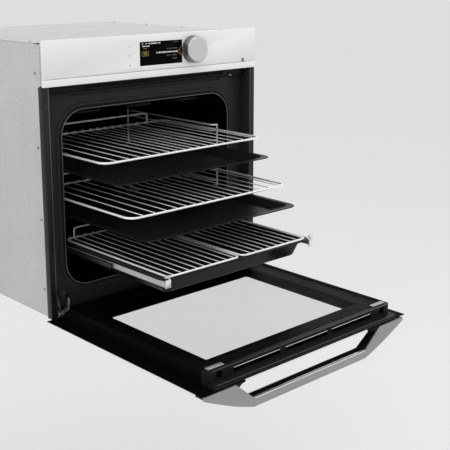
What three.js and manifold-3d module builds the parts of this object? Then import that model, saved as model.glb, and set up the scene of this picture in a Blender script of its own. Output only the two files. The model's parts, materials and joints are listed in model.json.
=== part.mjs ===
// Built-in wall oven with a drop-down door, five shelf levels and telescopic rails.
// Millimetres, +Z up, +X to the right seen from the front, the door faces -Y.
// Every sub-part is drawn with Y = 0 at the front of the control panel and Z = 0 under the base;
// the finished group is then moved so that its origin is the middle of the base's underside.
import * as THREE from "three";
import { mergeVertices } from "three/addons/utils/BufferGeometryUtils.js";
import Module from "manifold-3d";

const wasm = await Module();
wasm.setup();

// ---------------------------------------------------------------- driving dimensions
const GAP = 0.3; // clearance between pieces that touch
const SHEET = 1.5; // steel sheet of the casing
const BASE_MIDDLE_Y = 300; // where the row's origin lies along Y

const FRONT = { half: 297.5, height: 595, panelBottom: 501.5 };
const BODY = { half: 279, front: 38.4, back: 561.5, top: 585 };
const STRIP = { height: 14.7, thick: 6 };
const PANEL = { thick: 4, displayX: [-52.4, 67.3], displayZ: [527.5, 579], knobX: 97, knobZ: 556 };
const KNOB = { radius: 29.5, face: -22, back: -4.4, shaft: 3, shaftEnd: 13 };

const CAVITY = { half: 236, bottom: 60, top: 444, corner: 55, front: 33.4, back: 482, wall: 1.6 };
const FRAME = { face: 36, thick: 2, half: 281, wall: 2, lipFront: 5, bandFront: 20, bandBottom: 483.5 };
const BEAD = { inner: 5.5, outer: 14.5, front: 33.4 }; // raised ring round the cavity mouth
const SEAL = { inner: 2, outer: 5.2, front: 32.9 };
const TRIM = { inner: 283.3, front: 3.6, back: 19.7, bottom: 10 }; // ends above the door's turning edge

const HINGE = { y: 16.5, z: 13.5, pin: 4, hole: 4.5, armX: [271.5, 275], leverX: [266, 270] };
const LEVER = { inner: 46, outer: 54, from: 56, to: 114, hub: 8.5 };

const DOOR = { rear: 27, front: -468, bodyHalf: 264, bodyTop: 29.5, capFace: -451, ledgeTop: 9 };
const GLASS = { outer: 4, inner: 4, middle: 3.5, middleZ: 12 };
const CAP_SLOTS = [[-200, -76], [-62, 62], [74, 200]]; // vent slots along X
const HANDLE = { end: 289, bend: 163, foot: 210, top: -4.4, grip: -45, low: -63, front: -468, back: -443 };
const HANDLE_SKIN = 4;

const RACK = { half: 222, depth: 350, frame: 5.4, wire: 3.4, bailRise: 23, bailHalf: 165 };
const UPPER_RACK = { z: 350.4, front: -94 };
const LOWER_RACK = { z: 252.3, front: -178 };
const DIMPLED_TRAY = { z: 311.5, front: -138, half: 220, depth: 362, floor: 296, corner: 26 };
const FLAT_TRAY = { z: 212.5, front: -223, half: 218, depth: 362, floor: 199, corner: 26 };
const DEEP_TRAY = { z: 145, front: -269, half: 213.5, depth: 368, floor: 108, corner: 22 };
const GRID = { half: 198, front: -262, back: 92, z: 148.3, inner: 5, frame: 5, first: 24.3, step: 20.3 };
const GRID_WIRES = { count: 9, size: 3.2 };
const RAIL = { closedFront: 64, length: 360, travel: 334, z: [131.5, 142.5] };
const HOOK = { x: [199.5, 212.3], front: -273, z: [130, 146.5], fingerZ: [150.6, 155] };
const LADDER = { rail: 220.5, post: 232, wire: 2.5, front: 66, back: 424, bend: 10 };

const FAN = { y: 462, z: 250, radius: 72, hub: 14, blades: 10, depth: 20 };
const BLOWER = { y: 392, z: 545, radius: 27, half: 150, vanes: 12 };
const LOCK = { x: [231.5, 240.5], pivotY: 64, pivotZ: 492, tip: [22.5, 26] };

// ---------------------------------------------------------------- materials
const paint = (color, roughness, metalness) =>
  new THREE.MeshStandardMaterial({ color, roughness, metalness });
const MATERIAL = {
  whitePanel: paint(0xe9e9e8, 0.3, 0),
  blackGlass: paint(0x0a0a0b, 0.08, 0),
  clearGlass: paint(0x9aa2a4, 0.05, 0),
  satinSilver: paint(0xc9c9c7, 0.3, 0.9),
  brushedSteel: paint(0xa9a9a8, 0.38, 0.9),
  chrome: paint(0xd6d6d4, 0.15, 1),
  enamel: paint(0x0c0c0d, 0.3, 0),
  frameEnamel: paint(0x242425, 0.38, 0.1),
  trimGrey: paint(0x4b4b4c, 0.4, 0.6),
  galvanised: paint(0x9fa3a4, 0.5, 0.8),
  blackPlastic: paint(0x19191a, 0.45, 0),
  rubber: paint(0x141414, 0.8, 0),
  wool: paint(0xb9b39a, 0.95, 0),
  element: paint(0x3a3735, 0.55, 0.7),
  board: paint(0x1f4a32, 0.6, 0),
  lampGlass: paint(0xd8d8cf, 0.2, 0),
};

// ---------------------------------------------------------------- solid helpers
function toSolid(geometry) {
  const bare = geometry.clone();
  bare.deleteAttribute("normal");
  bare.deleteAttribute("uv");
  const merged = mergeVertices(bare, 1e-4);
  return new wasm.Manifold(
    new wasm.Mesh({
      numProp: 3,
      vertProperties: new Float32Array(merged.attributes.position.array),
      triVerts: new Uint32Array(merged.index.array),
    }),
  );
}

function toMesh(name, solid, material) {
  const { vertProperties, triVerts } = solid.getMesh();
  const geometry = new THREE.BufferGeometry();
  geometry.setAttribute("position", new THREE.BufferAttribute(vertProperties, 3));
  geometry.setIndex(new THREE.BufferAttribute(triVerts, 1));
  geometry.computeVertexNormals();
  const mesh = new THREE.Mesh(geometry, material);
  mesh.name = name;
  return mesh;
}

const join = (first, ...rest) => rest.reduce((sum, one) => sum.add(one), first);
const cut = (first, ...rest) => rest.reduce((left, one) => left.subtract(one), first);

function box([x0, x1], [y0, y1], [z0, z1]) {
  const geometry = new THREE.BoxGeometry(x1 - x0, y1 - y0, z1 - z0);
  geometry.translate((x0 + x1) / 2, (y0 + y1) / 2, (z0 + z1) / 2);
  return toSolid(geometry);
}

// A flat outline in X and Z, extruded along Y.
function alongY(shape, [y0, y1], segments = 6) {
  const geometry = new THREE.ExtrudeGeometry(shape, {
    depth: y1 - y0,
    bevelEnabled: false,
    curveSegments: segments,
  });
  geometry.rotateX(Math.PI / 2);
  geometry.translate(0, y1, 0);
  return toSolid(geometry);
}

// A flat outline in Y and Z, extruded along X.
function alongX(shape, [x0, x1], segments = 6) {
  const geometry = new THREE.ExtrudeGeometry(shape, {
    depth: x1 - x0,
    bevelEnabled: false,
    curveSegments: segments,
  });
  const turn = new THREE.Matrix4().makeBasis(
    new THREE.Vector3(0, 1, 0),
    new THREE.Vector3(0, 0, 1),
    new THREE.Vector3(1, 0, 0),
  );
  geometry.applyMatrix4(turn);
  geometry.translate(x0, 0, 0);
  return toSolid(geometry);
}

function outline(points) {
  return new THREE.Shape(points.map(([u, v]) => new THREE.Vector2(u, v)));
}

function roundedRect([u0, u1], [v0, v1], r) {
  const shape = new THREE.Shape();
  shape.absarc(u1 - r, v1 - r, r, 0, Math.PI / 2, false);
  shape.absarc(u0 + r, v1 - r, r, Math.PI / 2, Math.PI, false);
  shape.absarc(u0 + r, v0 + r, r, Math.PI, 1.5 * Math.PI, false);
  shape.absarc(u1 - r, v0 + r, r, 1.5 * Math.PI, 2 * Math.PI, false);
  shape.closePath();
  return shape;
}

// The cavity mouth's rounded outline, grown outwards by an offset.
const mouth = (grow) =>
  roundedRect(
    [-CAVITY.half - grow, CAVITY.half + grow],
    [CAVITY.bottom - grow, CAVITY.top + grow],
    CAVITY.corner + grow,
  );

const mouthRing = (inner, outer, yRange) =>
  cut(alongY(mouth(outer), yRange), alongY(mouth(inner), [yRange[0] - 1, yRange[1] + 1]));

// A round bar between two points.
function bar(from, to, radius, sides = 6) {
  const a = new THREE.Vector3(...from);
  const b = new THREE.Vector3(...to);
  const geometry = new THREE.CylinderGeometry(radius, radius, a.distanceTo(b), sides);
  const direction = b.clone().sub(a).normalize();
  geometry.applyQuaternion(
    new THREE.Quaternion().setFromUnitVectors(new THREE.Vector3(0, 1, 0), direction),
  );
  const middle = a.add(b).multiplyScalar(0.5);
  geometry.translate(middle.x, middle.y, middle.z);
  return toSolid(geometry);
}

// Bent wire: round bars whose ends run a little past each bend, joined into one piece.
function bentWire(points, radius, sides = 6) {
  const pieces = points.slice(1).map((point, i) => {
    const a = new THREE.Vector3(...points[i]);
    const b = new THREE.Vector3(...point);
    const reach = b.clone().sub(a).normalize().multiplyScalar(radius * 0.6);
    if (i > 0) a.sub(reach);
    if (i < points.length - 2) b.add(reach);
    return bar(a.toArray(), b.toArray(), radius, sides);
  });
  return join(...pieces);
}

const discX = ([x0, x1], y, z, radius, sides = 16) => bar([x0, y, z], [x1, y, z], radius, sides);
const discY = ([y0, y1], x, z, radius, sides = 24) => bar([x, y0, z], [x, y1, z], radius, sides);
const discZ = ([z0, z1], x, y, radius, sides = 20) => bar([x, y, z0], [x, y, z1], radius, sides);

// Horizontal rounded rectangles stacked in height and skinned into a closed solid.
function loft(levels, steps = 4) {
  const rings = levels.map(({ x, y, r, z }) =>
    roundedRect(x, y, r)
      .getPoints(steps)
      .filter((p, i, all) => i === 0 || p.distanceTo(all[i - 1]) > 1e-6)
      .filter((p, i, all) => i === 0 || p.distanceTo(all[0]) > 1e-6)
      .map((p) => [p.x, p.y, z]),
  );
  const n = rings[0].length;
  const position = new Float32Array(rings.flat(2));
  const index = [];
  for (let k = 0; k + 1 < rings.length; k++)
    for (let i = 0; i < n; i++) {
      const j = (i + 1) % n;
      const [a, b, c, d] = [k * n + i, k * n + j, (k + 1) * n + j, (k + 1) * n + i];
      index.push(a, b, c, a, c, d);
    }
  const topRing = (rings.length - 1) * n;
  for (let i = 1; i + 1 < n; i++) {
    index.push(0, i + 1, i);
    index.push(topRing, topRing + i, topRing + i + 1);
  }
  const geometry = new THREE.BufferGeometry();
  geometry.setAttribute("position", new THREE.BufferAttribute(position, 3));
  geometry.setIndex(index);
  return toSolid(geometry);
}

const SIDES = [["left", -1], ["right", 1]];
const mirrored = (side, [a, b]) => (side < 0 ? [-b, -a] : [a, b]);

const oven = new THREE.Group();
oven.name = "wall_oven";
const add = (name, solid, material) => oven.add(toMesh(name, solid, material));

// ---------------------------------------------------------------- casing
function buildCasing() {
  const { half, front, back, top } = BODY;
  const sideZ = [SHEET + GAP, top - GAP];
  add("base_plate", box([-half, half], [front, back], [0, SHEET]), MATERIAL.galvanised);
  for (const [word, side] of SIDES) {
    const x = mirrored(side, [half - SHEET, half]);
    add("side_panel_" + word, box(x, [front, back - SHEET - GAP], sideZ), MATERIAL.galvanised);
  }
  add("rear_panel", rearPanel(), MATERIAL.galvanised);
  add("top_cover", topCover(), MATERIAL.galvanised);
  add("insulation", insulation(), MATERIAL.wool);
  add("terminal_block", terminalBlock(), MATERIAL.blackPlastic);
}

function rearPanel() {
  const y = [BODY.back - SHEET, BODY.back];
  const panel = box([-BODY.half, BODY.half], y, [SHEET + GAP, BODY.top - GAP]);
  const through = [y[0] - 1, y[1] + 1];
  const louvres = [0, 1, 2, 3, 4].map((i) => box([-220, -120], through, [500 + 14 * i, 506 + 14 * i]));
  const terminalWindow = box([181.5, 228.5], through, [521.5, 558.5]);
  return cut(panel, terminalWindow, ...louvres);
}

function topCover() {
  const { half, back, top } = BODY;
  const cover = box([-half, half], [60, back], [top, top + SHEET]);
  const louvres = [0, 1, 2, 3, 4, 5].map((i) =>
    box([-120, 120], [430 + 18 * i, 438 + 18 * i], [top - 1, top + SHEET + 1]),
  );
  return cut(cover, ...louvres);
}

function insulation() {
  const y = [52, CAVITY.back - 2];
  return cut(alongY(mouth(26), y), alongY(mouth(12), [y[0] - 1, y[1] + 1]));
}

function terminalBlock() {
  const block = box([182, 228], [540, 575], [522, 558]);
  const wires = [0, 1, 2].map((i) => discY([566, 576], 193 + 12 * i, 540, 3.5, 10));
  return cut(block, ...wires);
}

// ---------------------------------------------------------------- cavity
function buildCavity() {
  add("cavity_liner", cavityLiner(), MATERIAL.enamel);
  add("front_frame", frontFrame(), MATERIAL.frameEnamel);
  add("door_seal", mouthRing(SEAL.inner, SEAL.outer, [SEAL.front, FRAME.face]), MATERIAL.rubber);
  for (const [word, side] of SIDES) add("ladder_" + word, ladder(side), MATERIAL.chrome);
  add("grill_element", grillElement(), MATERIAL.element);
  add("bottom_element", bottomElement(), MATERIAL.element);
  add("ring_element", ringElement(), MATERIAL.element);
  add("fan_cover", fanCover(), MATERIAL.enamel);
  add("oven_lamp", ovenLamp(), MATERIAL.lampGlass);
}

function cavityLiner() {
  const { front, back, wall } = CAVITY;
  const shell = alongY(mouth(wall), [front, back]);
  const room = alongY(mouth(0), [front - 1, back - wall]);
  const shaftHole = discY([back - 4, back + 2], 0, FAN.z, 8);
  return cut(shell, room, shaftHole);
}

function frontFrame() {
  const { face, thick, half, wall, lipFront, bandFront, bandBottom } = FRAME;
  const bottom = 2;
  const bandTop = FRONT.panelBottom - 1;
  const plate = box([-half, half], [face, face + thick], [bottom, bandBottom + 1]);
  const bead = alongY(mouth(BEAD.outer), [BEAD.front, face + 1]);
  const walls = SIDES.map(([, side]) =>
    box(mirrored(side, [half - 0.5, half + wall - 0.5]), [lipFront, face + thick], [bottom + 6, bandTop]),
  );
  const ceiling = box([-half, half], [bandFront, face + thick], [bandBottom, bandBottom + SHEET]);
  const band = box([-half, half], [bandFront, bandFront + SHEET], [bandBottom, bandTop]);
  const mouthHole = alongY(mouth(BEAD.inner), [BEAD.front - 1, face + thick + 1]);
  const airSlot = box([-190, 230], [bandFront - 1, bandFront + SHEET + 1], [489.5, 498.5]);
  const returnSlot = box([-212, 212], [face - 1, face + thick + 1], [474.5, 481.5]);
  const hingeSpan = [HINGE.leverX[0] - 0.8, HINGE.armX[1] + 0.8];
  const throughPlate = [face - 1, face + thick + 1];
  const hingeSlots = SIDES.map(([, side]) => box(mirrored(side, hingeSpan), throughPlate, [3.5, 70]));
  const lockSlot = box(
    [LOCK.x[0] - 2, LOCK.x[1] + 2],
    [bandFront + SHEET - 2.5, bandFront + 14],
    [bandBottom - 1, bandBottom + SHEET + 1],
  );
  const sheet = join(plate, bead, ceiling, band, ...walls);
  return cut(sheet, mouthHole, airSlot, returnSlot, lockSlot, ...hingeSlots);
}

// The heights of a ladder's wire pairs: the lower one carries a shelf, the upper one stops it tipping.
function ladderHeights() {
  const under = LADDER.wire + GAP;
  const racks = [UPPER_RACK.z, LOWER_RACK.z].map((z) => [z - RACK.frame / 2 - under, z + 9]);
  const trays = [DIMPLED_TRAY.z, FLAT_TRAY.z].map((z) => [z - SHEET - under, z + 9]);
  const rails = [[RAIL.z[0] - 1 - under, RAIL.z[1] + 1 + under]];
  return [...racks, ...trays, ...rails].flat();
}

function ladder(side) {
  const { rail, post, wire, front, back, bend } = LADDER;
  const heights = ladderHeights();
  const low = Math.min(...heights) - 8;
  const high = Math.max(...heights);
  const posts = [front, back].map((y) => bar([side * post, y, low], [side * post, y, high + 1], wire, 8));
  const rungs = heights.map((z) =>
    bentWire(
      [
        [side * post, front, z],
        [side * rail, front + bend, z],
        [side * rail, back - bend, z],
        [side * post, back, z],
      ],
      wire,
    ),
  );
  return join(...posts, ...rungs);
}

// A serpentine of six legs whose two ends leave through the back wall.
function grillElement() {
  const [z, first, legs, pitch, corner] = [432, -175, 6, 70, 20];
  const [near, far, exit] = [70, 400, CAVITY.back - 2.2];
  const points = [];
  for (let i = 0; i < legs; i++) {
    const x = first + pitch * i;
    const last = i === legs - 1;
    const [from, to] = i % 2 ? [near, far] : [far, near];
    const inward = Math.sign(to - from) * corner;
    points.push([x, i ? from + inward : exit, z], [x, last ? exit : to - inward, z]);
    if (!last) points.push([x + corner, to, z], [x + pitch - corner, to, z]);
  }
  return bentWire(points, 3.5);
}

function bottomElement() {
  const z = CAVITY.bottom - 6.6;
  const half = [[60, 470], [60, 380], [180, 360], [180, 110]];
  const loop = [...half.map(([x, y]) => [-x, y]), ...half.reverse()];
  return bentWire(loop.map(([x, y]) => [x, y, z]), 3);
}

function ringElement() {
  const [radius, tube] = [96, 3.6];
  const profile = [0, 1, 2, 3, 4, 5, 6].map((i) => {
    const a = (i * Math.PI) / 3;
    return new THREE.Vector2(radius + tube * Math.cos(a), tube * Math.sin(a));
  });
  profile[6].copy(profile[0]);
  const ring = new THREE.LatheGeometry(profile, 32);
  ring.translate(0, FAN.y, 0);
  const solid = toSolid(ring).translate([0, 0, FAN.z]);
  const legs = [-12, 12].map((x) => {
    const z = FAN.z + Math.sqrt(radius * radius - x * x);
    return bar([x, FAN.y, z], [x, CAVITY.back - 2.2, z], tube * 0.9, 8);
  });
  return join(solid, ...legs);
}

function fanCover() {
  const y = [441, 442.5];
  const plate = alongY(roundedRect([-205, 205], [74, 418], 24), y);
  const skirt = alongY(roundedRect([-205, 205], [74, 418], 24), [y[1] - 0.2, y[1] + 12]);
  const hollow = alongY(roundedRect([-203.4, 203.4], [75.6, 416.4], 23), [y[1], y[1] + 13]);
  const through = [y[0] - 1, y[1] + 1];
  const slots = [];
  for (const ring of [24, 46])
    for (let i = 0; i < 12; i++) {
      const a = ((i + (ring > 30 ? 0.5 : 0)) * Math.PI) / 6;
      const slot = box([ring - 8, ring + 8], through, [-3, 3]).rotate([0, -(a * 180) / Math.PI, 0]);
      slots.push(slot.translate([0, 0, FAN.z]));
    }
  for (const x of [-180, 180])
    for (let i = 0; i < 5; i++) slots.push(box([x - 5, x + 5], through, [110 + 60 * i, 150 + 60 * i]));
  return cut(join(plate, cut(skirt, hollow)), ...slots);
}

function ovenLamp() {
  const z = CAVITY.top - GAP;
  return join(discZ([z - 3, z], -150, 300, 26), discZ([z - 7, z - 2.9], -150, 300, 19));
}

// ---------------------------------------------------------------- fans
function buildFans() {
  add("fan_blade", fanBlade(), MATERIAL.galvanised);
  add("fan_motor", fanMotor(), MATERIAL.brushedSteel);
  add("blower_housing", blowerHousing(), MATERIAL.galvanised);
  add("blower_rotor", blowerRotor(), MATERIAL.galvanised);
}

function fanBlade() {
  const y = [FAN.y - FAN.depth / 2, FAN.y + FAN.depth / 2];
  const blade = box([FAN.hub - 4, FAN.radius], y, [-0.9, 0.9]);
  const blades = Array.from({ length: FAN.blades }, (_, i) => blade.rotate([0, (i * 360) / FAN.blades, 0]));
  const hub = discY(y, 0, 0, FAN.hub, 16);
  const plate = discY([y[1] - 1.6, y[1]], 0, 0, FAN.radius - 4, 30);
  const shaft = discY([y[0], 515], 0, 0, 4, 12);
  return join(hub, plate, shaft, ...blades).translate([0, 0, FAN.z]);
}

function fanMotor() {
  const bracket = box([-62, 62], [CAVITY.back + GAP, CAVITY.back + 2], [-24, 24]);
  const body = discY([CAVITY.back + 1.9, 540], 0, 0, 36, 24);
  const bore = discY([CAVITY.back - 1, 516], 0, 0, 6, 16);
  return cut(join(bracket, body), bore).translate([0, 0, FAN.z]);
}

function blowerHousing() {
  const x = [-BLOWER.half - 12, BLOWER.half + 12];
  const shell = box(x, [352, 432], [506, 580]);
  const room = box([x[0] + 1.2, x[1] - 1.2], [353.2, 430.8], [507.2, 578.8]);
  const mouthSlot = box([-BLOWER.half, BLOWER.half], [350, 360], [508.5, 530]);
  const inlet = box([-BLOWER.half, BLOWER.half], [425, 434], [520, 566]);
  const ducts = box([x[0], x[1]], [300, 353.2], [506, 507.2]);
  return join(cut(shell, room, mouthSlot, inlet), ducts);
}

function blowerRotor() {
  const ends = SIDES.map(([, side]) =>
    discX(mirrored(side, [BLOWER.half - 2, BLOWER.half]), 0, 0, BLOWER.radius, 20),
  );
  const vanes = Array.from({ length: BLOWER.vanes }, (_, i) => {
    const a = (i * 360) / BLOWER.vanes;
    return box([-BLOWER.half + 1, BLOWER.half - 1], [BLOWER.radius - 7, BLOWER.radius - 1], [-0.8, 0.8])
      .rotate([a, 0, 0]);
  });
  const shaft = discX([-BLOWER.half - 8, BLOWER.half + 8], 0, 0, 3, 8);
  return join(...ends, shaft, ...vanes).translate([0, BLOWER.y, BLOWER.z]);
}

// ---------------------------------------------------------------- control panel
function buildControls() {
  const stripTop = FRONT.panelBottom + STRIP.height;
  const wide = [-FRONT.half, FRONT.half];
  add("panel_strip", box(wide, [0, STRIP.thick], [FRONT.panelBottom, stripTop]), MATERIAL.whitePanel);
  add("control_panel", controlPanel(stripTop + 0.8), MATERIAL.whitePanel);
  add("display_module", displayModule(), MATERIAL.blackGlass);
  add("panel_housing", panelHousing(), MATERIAL.galvanised);
  add("control_board", controlBoard(), MATERIAL.board);
  add("knob_collar", knobCollar(), MATERIAL.satinSilver);
  add("knob", knob(), MATERIAL.satinSilver);
}

function controlPanel(bottom) {
  const panel = box([-FRONT.half, FRONT.half], [0, PANEL.thick], [bottom, FRONT.height]);
  const display = box(PANEL.displayX, [-1, PANEL.thick + 1], PANEL.displayZ);
  const knobHole = discY([-1, PANEL.thick + 1], PANEL.knobX, PANEL.knobZ, 8);
  return cut(panel, display, knobHole);
}

function displayModule() {
  const inset = ([a, b]) => [a + GAP, b - GAP];
  const window = box(inset(PANEL.displayX), [0.2, 8], inset(PANEL.displayZ));
  const flange = box([-57, 72], [PANEL.thick + GAP, 8], [522, 584]);
  return join(window, flange);
}

function panelHousing() {
  const outer = box([-290, 290], [8.6, 19.7], [503, 592]);
  const pocket = box([-288, 288], [10, 21], [505, 590]);
  const displayHole = box([-57.5, 72.5], [8, 11], [521.5, 584.5]);
  const knobHole = discY([8, 11], PANEL.knobX, PANEL.knobZ, 8);
  return cut(outer, pocket, displayHole, knobHole);
}

function controlBoard() {
  const board = box([-96, 140], [14.5, 16.1], [518, 586]);
  const encoder = box([PANEL.knobX - 9, PANEL.knobX + 9], [10.3, 14.6], [PANEL.knobZ - 9, PANEL.knobZ + 9]);
  const relays = [0, 1, 2].map((i) => box([-90 + 18 * i, -76 + 18 * i], [16, 28], [526, 550]));
  const bore = discY([8, 14], PANEL.knobX, PANEL.knobZ, KNOB.shaft + 0.6, 12);
  return cut(join(board, encoder, ...relays), bore);
}

function knobCollar() {
  const { knobX, knobZ } = PANEL;
  const ring = discY([-4, -GAP], knobX, knobZ, KNOB.radius + 1.2, 36);
  return cut(ring, discY([-5, 1], knobX, knobZ, KNOB.radius - 6, 30));
}

function knob() {
  const { knobX, knobZ } = PANEL;
  const { radius, face, back, shaft, shaftEnd } = KNOB;
  const profile = [[0, face], [radius - 2.2, face], [radius, face + 2.2], [radius, back], [shaft, back]];
  profile.push([shaft, shaftEnd], [0, shaftEnd]);
  const lathe = new THREE.LatheGeometry(profile.reverse().map(([r, y]) => new THREE.Vector2(r, y)), 40);
  return turnedOutwards(toSolid(lathe)).translate([knobX, 0, knobZ]);
}

// A lathe profile may run either way round, so an inside-out solid is rebuilt with its faces turned.
function turnedOutwards(solid) {
  if (solid.volume() > 0) return solid;
  const { vertProperties, triVerts } = solid.getMesh();
  const flipped = triVerts.map((_, i, all) => all[i - (i % 3) + [0, 2, 1][i % 3]]);
  return new wasm.Manifold(new wasm.Mesh({ numProp: 3, vertProperties, triVerts: flipped }));
}

// ---------------------------------------------------------------- side trims, hinges, lock
function buildFixings() {
  for (const [word, side] of SIDES) {
    add("side_trim_" + word, sideTrim(side), MATERIAL.trimGrey);
    add("hinge_arm_" + word, hingeArm(side), MATERIAL.brushedSteel);
    add("hinge_lever_" + word, hingeLever(side), MATERIAL.chrome);
  }
  add("lock_hook", lockHook(), MATERIAL.brushedSteel);
  add("lock_motor", lockMotor(), MATERIAL.blackPlastic);
}

function sideTrim(side) {
  const { inner, front, back, bottom } = TRIM;
  const z = [bottom, FRONT.panelBottom - 0.5];
  const face = box(mirrored(side, [inner, FRONT.half]), [front, front + SHEET], z);
  const web = box(mirrored(side, [FRONT.half - SHEET, FRONT.half]), [front, back], z);
  const foot = box(mirrored(side, [inner + 0.5, FRONT.half]), [back - SHEET, back], z);
  return join(face, web, foot);
}

function hingeArm(side) {
  const { y, z, armX, pin } = HINGE;
  const nose = [[30, 22], [y - 2, z + 8], [y - 8, z], [y - 4, z - 8]];
  const shape = outline([[40, 5], [78, 5], [78, 38], [46, 38], ...nose]);
  const plate = alongX(shape, mirrored(side, armX));
  return join(plate, discX(mirrored(side, [260.5, armX[1] + 1.5]), y, z, pin));
}

function hingeLever(side) {
  const { y, z, hole, leverX } = HINGE;
  const { inner, outer, from, to, hub } = LEVER;
  const x = mirrored(side, leverX);
  const arc = new THREE.Shape();
  const angle = (degrees) => Math.PI - (degrees * Math.PI) / 180;
  arc.absarc(y, z, outer, angle(from), angle(to), true);
  arc.absarc(y, z, inner, angle(to), angle(from), false);
  arc.closePath();
  const finger = outline([[-18, 34], [-12, 34], [-10, 52], [-14, 59], [-18, 56]]);
  const link = outline([[y - 5, z + 6], [-13, 40], [-18, 38], [-18, 32], [y - 3, z - 6], [y + 4, z]]);
  const brace = outline([[y - 5, z + 2], [y + 5, z], [y + 25, z + 44], [y + 17, z + 46]]);
  const plates = [arc, finger, link, brace].map((shape) => alongX(shape, x, 10));
  const eye = discX(x, y, z, hub);
  return cut(join(...plates, eye), discX([x[0] - 1, x[1] + 1], y, z, hole));
}

function lockHook() {
  const { x, pivotY, pivotZ, tip } = LOCK;
  const arm = box([x[0] + 2, x[1] - 2], [tip[0], pivotY], [pivotZ - 3, pivotZ + 2]);
  const finger = box(x, tip, [FRAME.bandBottom + 0.2, pivotZ + 2]);
  return join(arm, finger, discX([x[0] + 2, x[1] - 2], pivotY, pivotZ, 4.5, 12));
}

function lockMotor() {
  const { x, pivotY, pivotZ } = LOCK;
  const shaft = discX([x[1] - 1.6, x[1] + 4], pivotY, pivotZ, 2.5, 10);
  return join(box([x[1] + 3, x[1] + 26], [pivotY - 14, pivotY + 30], [pivotZ - 4, pivotZ + 34]), shaft);
}

// ---------------------------------------------------------------- door
function buildDoor() {
  const outerPane = box([-FRONT.half, FRONT.half], [DOOR.front, DOOR.rear], [-GLASS.outer, 0]);
  add("outer_glass", outerPane, MATERIAL.blackGlass);
  add("middle_glass", middleGlass(), MATERIAL.clearGlass);
  add("inner_glass", innerGlass(), MATERIAL.clearGlass);
  for (const [word, side] of SIDES) {
    add("door_profile_" + word, doorProfile(side), MATERIAL.frameEnamel);
    add("glass_clip_" + word, glassClip(side), MATERIAL.brushedSteel);
  }
  add("door_top_cap", doorTopCap(), MATERIAL.blackPlastic);
  add("door_bottom_profile", doorBottomProfile(), MATERIAL.frameEnamel);
  add("handle_blade", handleBlade(), MATERIAL.satinSilver);
  add("handle_liner", handleLiner(), MATERIAL.blackPlastic);
}

const glassBedTop = DOOR.bodyTop - GLASS.inner - GAP;

function middleGlass() {
  return box([-244, 244], [-431, -2], [GLASS.middleZ, GLASS.middleZ + GLASS.middle]);
}

function innerGlass() {
  const z = [DOOR.bodyTop - GLASS.inner, DOOR.bodyTop];
  return box([-259.6, 259.6], [-440.6, 10], z);
}

function doorProfile(side) {
  const { bodyHalf, bodyTop } = DOOR;
  const y = [-450.6, 20];
  const wall = box(mirrored(side, [260, bodyHalf]), y, [GAP, bodyTop]);
  const foot = box(mirrored(side, [240, bodyHalf]), [-430, -4], [GAP, 2.3]);
  const bed = box(mirrored(side, [248, bodyHalf]), [-430, -4], [glassBedTop - 2.2, glassBedTop]);
  const clamp = box(mirrored(side, [246, bodyHalf]), [-430, -4], [GLASS.middleZ - 2.3, GLASS.middleZ - GAP]);
  const pinHole = discX(mirrored(side, [259, 265]), HINGE.y, HINGE.z, HINGE.hole);
  const nose = discX(mirrored(side, [260, bodyHalf]), HINGE.y, HINGE.z, 9);
  const corner = box(mirrored(side, [259, 265]), [-452, -432.6], [GAP - 1, bodyTop + 1]);
  return cut(join(wall, nose, foot, bed, clamp), pinHole, corner);
}

function glassClip(side) {
  const plate = box(mirrored(side, [217, 256]), [-443, -432], [DOOR.bodyTop + GAP, DOOR.bodyTop + 2.1]);
  return plate;
}

function doorTopCap() {
  const { capFace, ledgeTop, bodyTop, bodyHalf } = DOOR;
  const back = -433;
  const block = loft([
    { x: [-bodyHalf, bodyHalf], y: [capFace, back + 30], r: 9, z: GAP },
    { x: [-bodyHalf, bodyHalf], y: [capFace, back + 30], r: 9, z: bodyTop },
  ]);
  const trimmed = cut(block, box([-300, 300], [back, back + 60], [-5, 60]));
  const ledge = box([-bodyHalf, bodyHalf], [DOOR.front + 0.5, capFace + 1], [GAP, ledgeTop]);
  const glassBed = box([-260, 260], [-440.9, back + 1], [glassBedTop, bodyTop + 1]);
  const hollow = box([-215, 215], [capFace + 6, back + 1], [4, glassBedTop - 3]);
  const slots = CAP_SLOTS.map((x) => box(x, [capFace - 1, capFace + 8], [12, 25 - 2.5]));
  const catchY = [capFace - 1, capFace + 12];
  const catches = SIDES.map(([, side]) => box(mirrored(side, [229, 243]), catchY, [11.5, 26]));
  return cut(join(trimmed, ledge), glassBed, hollow, ...slots, ...catches);
}

function doorBottomProfile() {
  const beam = box([-259, 259], [-2, 14], [GAP, glassBedTop]);
  const groove = box([-260, 260], [3, 15], [3, glassBedTop - 3]);
  return cut(beam, groove);
}

// One side of the handle's outline seen from the front, from the middle outwards and back.
function handleOutline(rim) {
  const { end, bend, foot, top, grip, low } = HANDLE;
  const shape = new THREE.Shape();
  shape.moveTo(-bend + rim / 2, grip + rim);
  shape.lineTo(-foot + rim, top);
  shape.lineTo(-end, top);
  shape.lineTo(-end, top - 7);
  shape.quadraticCurveTo(-bend - 50, low + 14, -bend, low);
  shape.lineTo(bend, low);
  shape.quadraticCurveTo(bend + 50, low + 14, end, top - 7);
  shape.lineTo(end, top);
  shape.lineTo(foot - rim, top);
  shape.lineTo(bend - rim / 2, grip + rim);
  shape.closePath();
  return shape;
}

function handleBlade() {
  return alongY(handleOutline(0), [HANDLE.front, HANDLE.front + HANDLE_SKIN], 5);
}

function handleLiner() {
  const y = [HANDLE.front + HANDLE_SKIN + GAP, HANDLE.back];
  const body = alongY(handleOutline(0), y, 5);
  const shaving = alongY(handleOutline(0), [y[0] - 1, y[1] + 1], 5).translate([0, 0, -2.5]);
  const pad = box([-HANDLE.foot - 60, HANDLE.foot + 60], y, [HANDLE.top - 1.2, HANDLE.top]);
  return join(body.intersect(shaving.translate([0, 0, 5])), pad);
}

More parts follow.
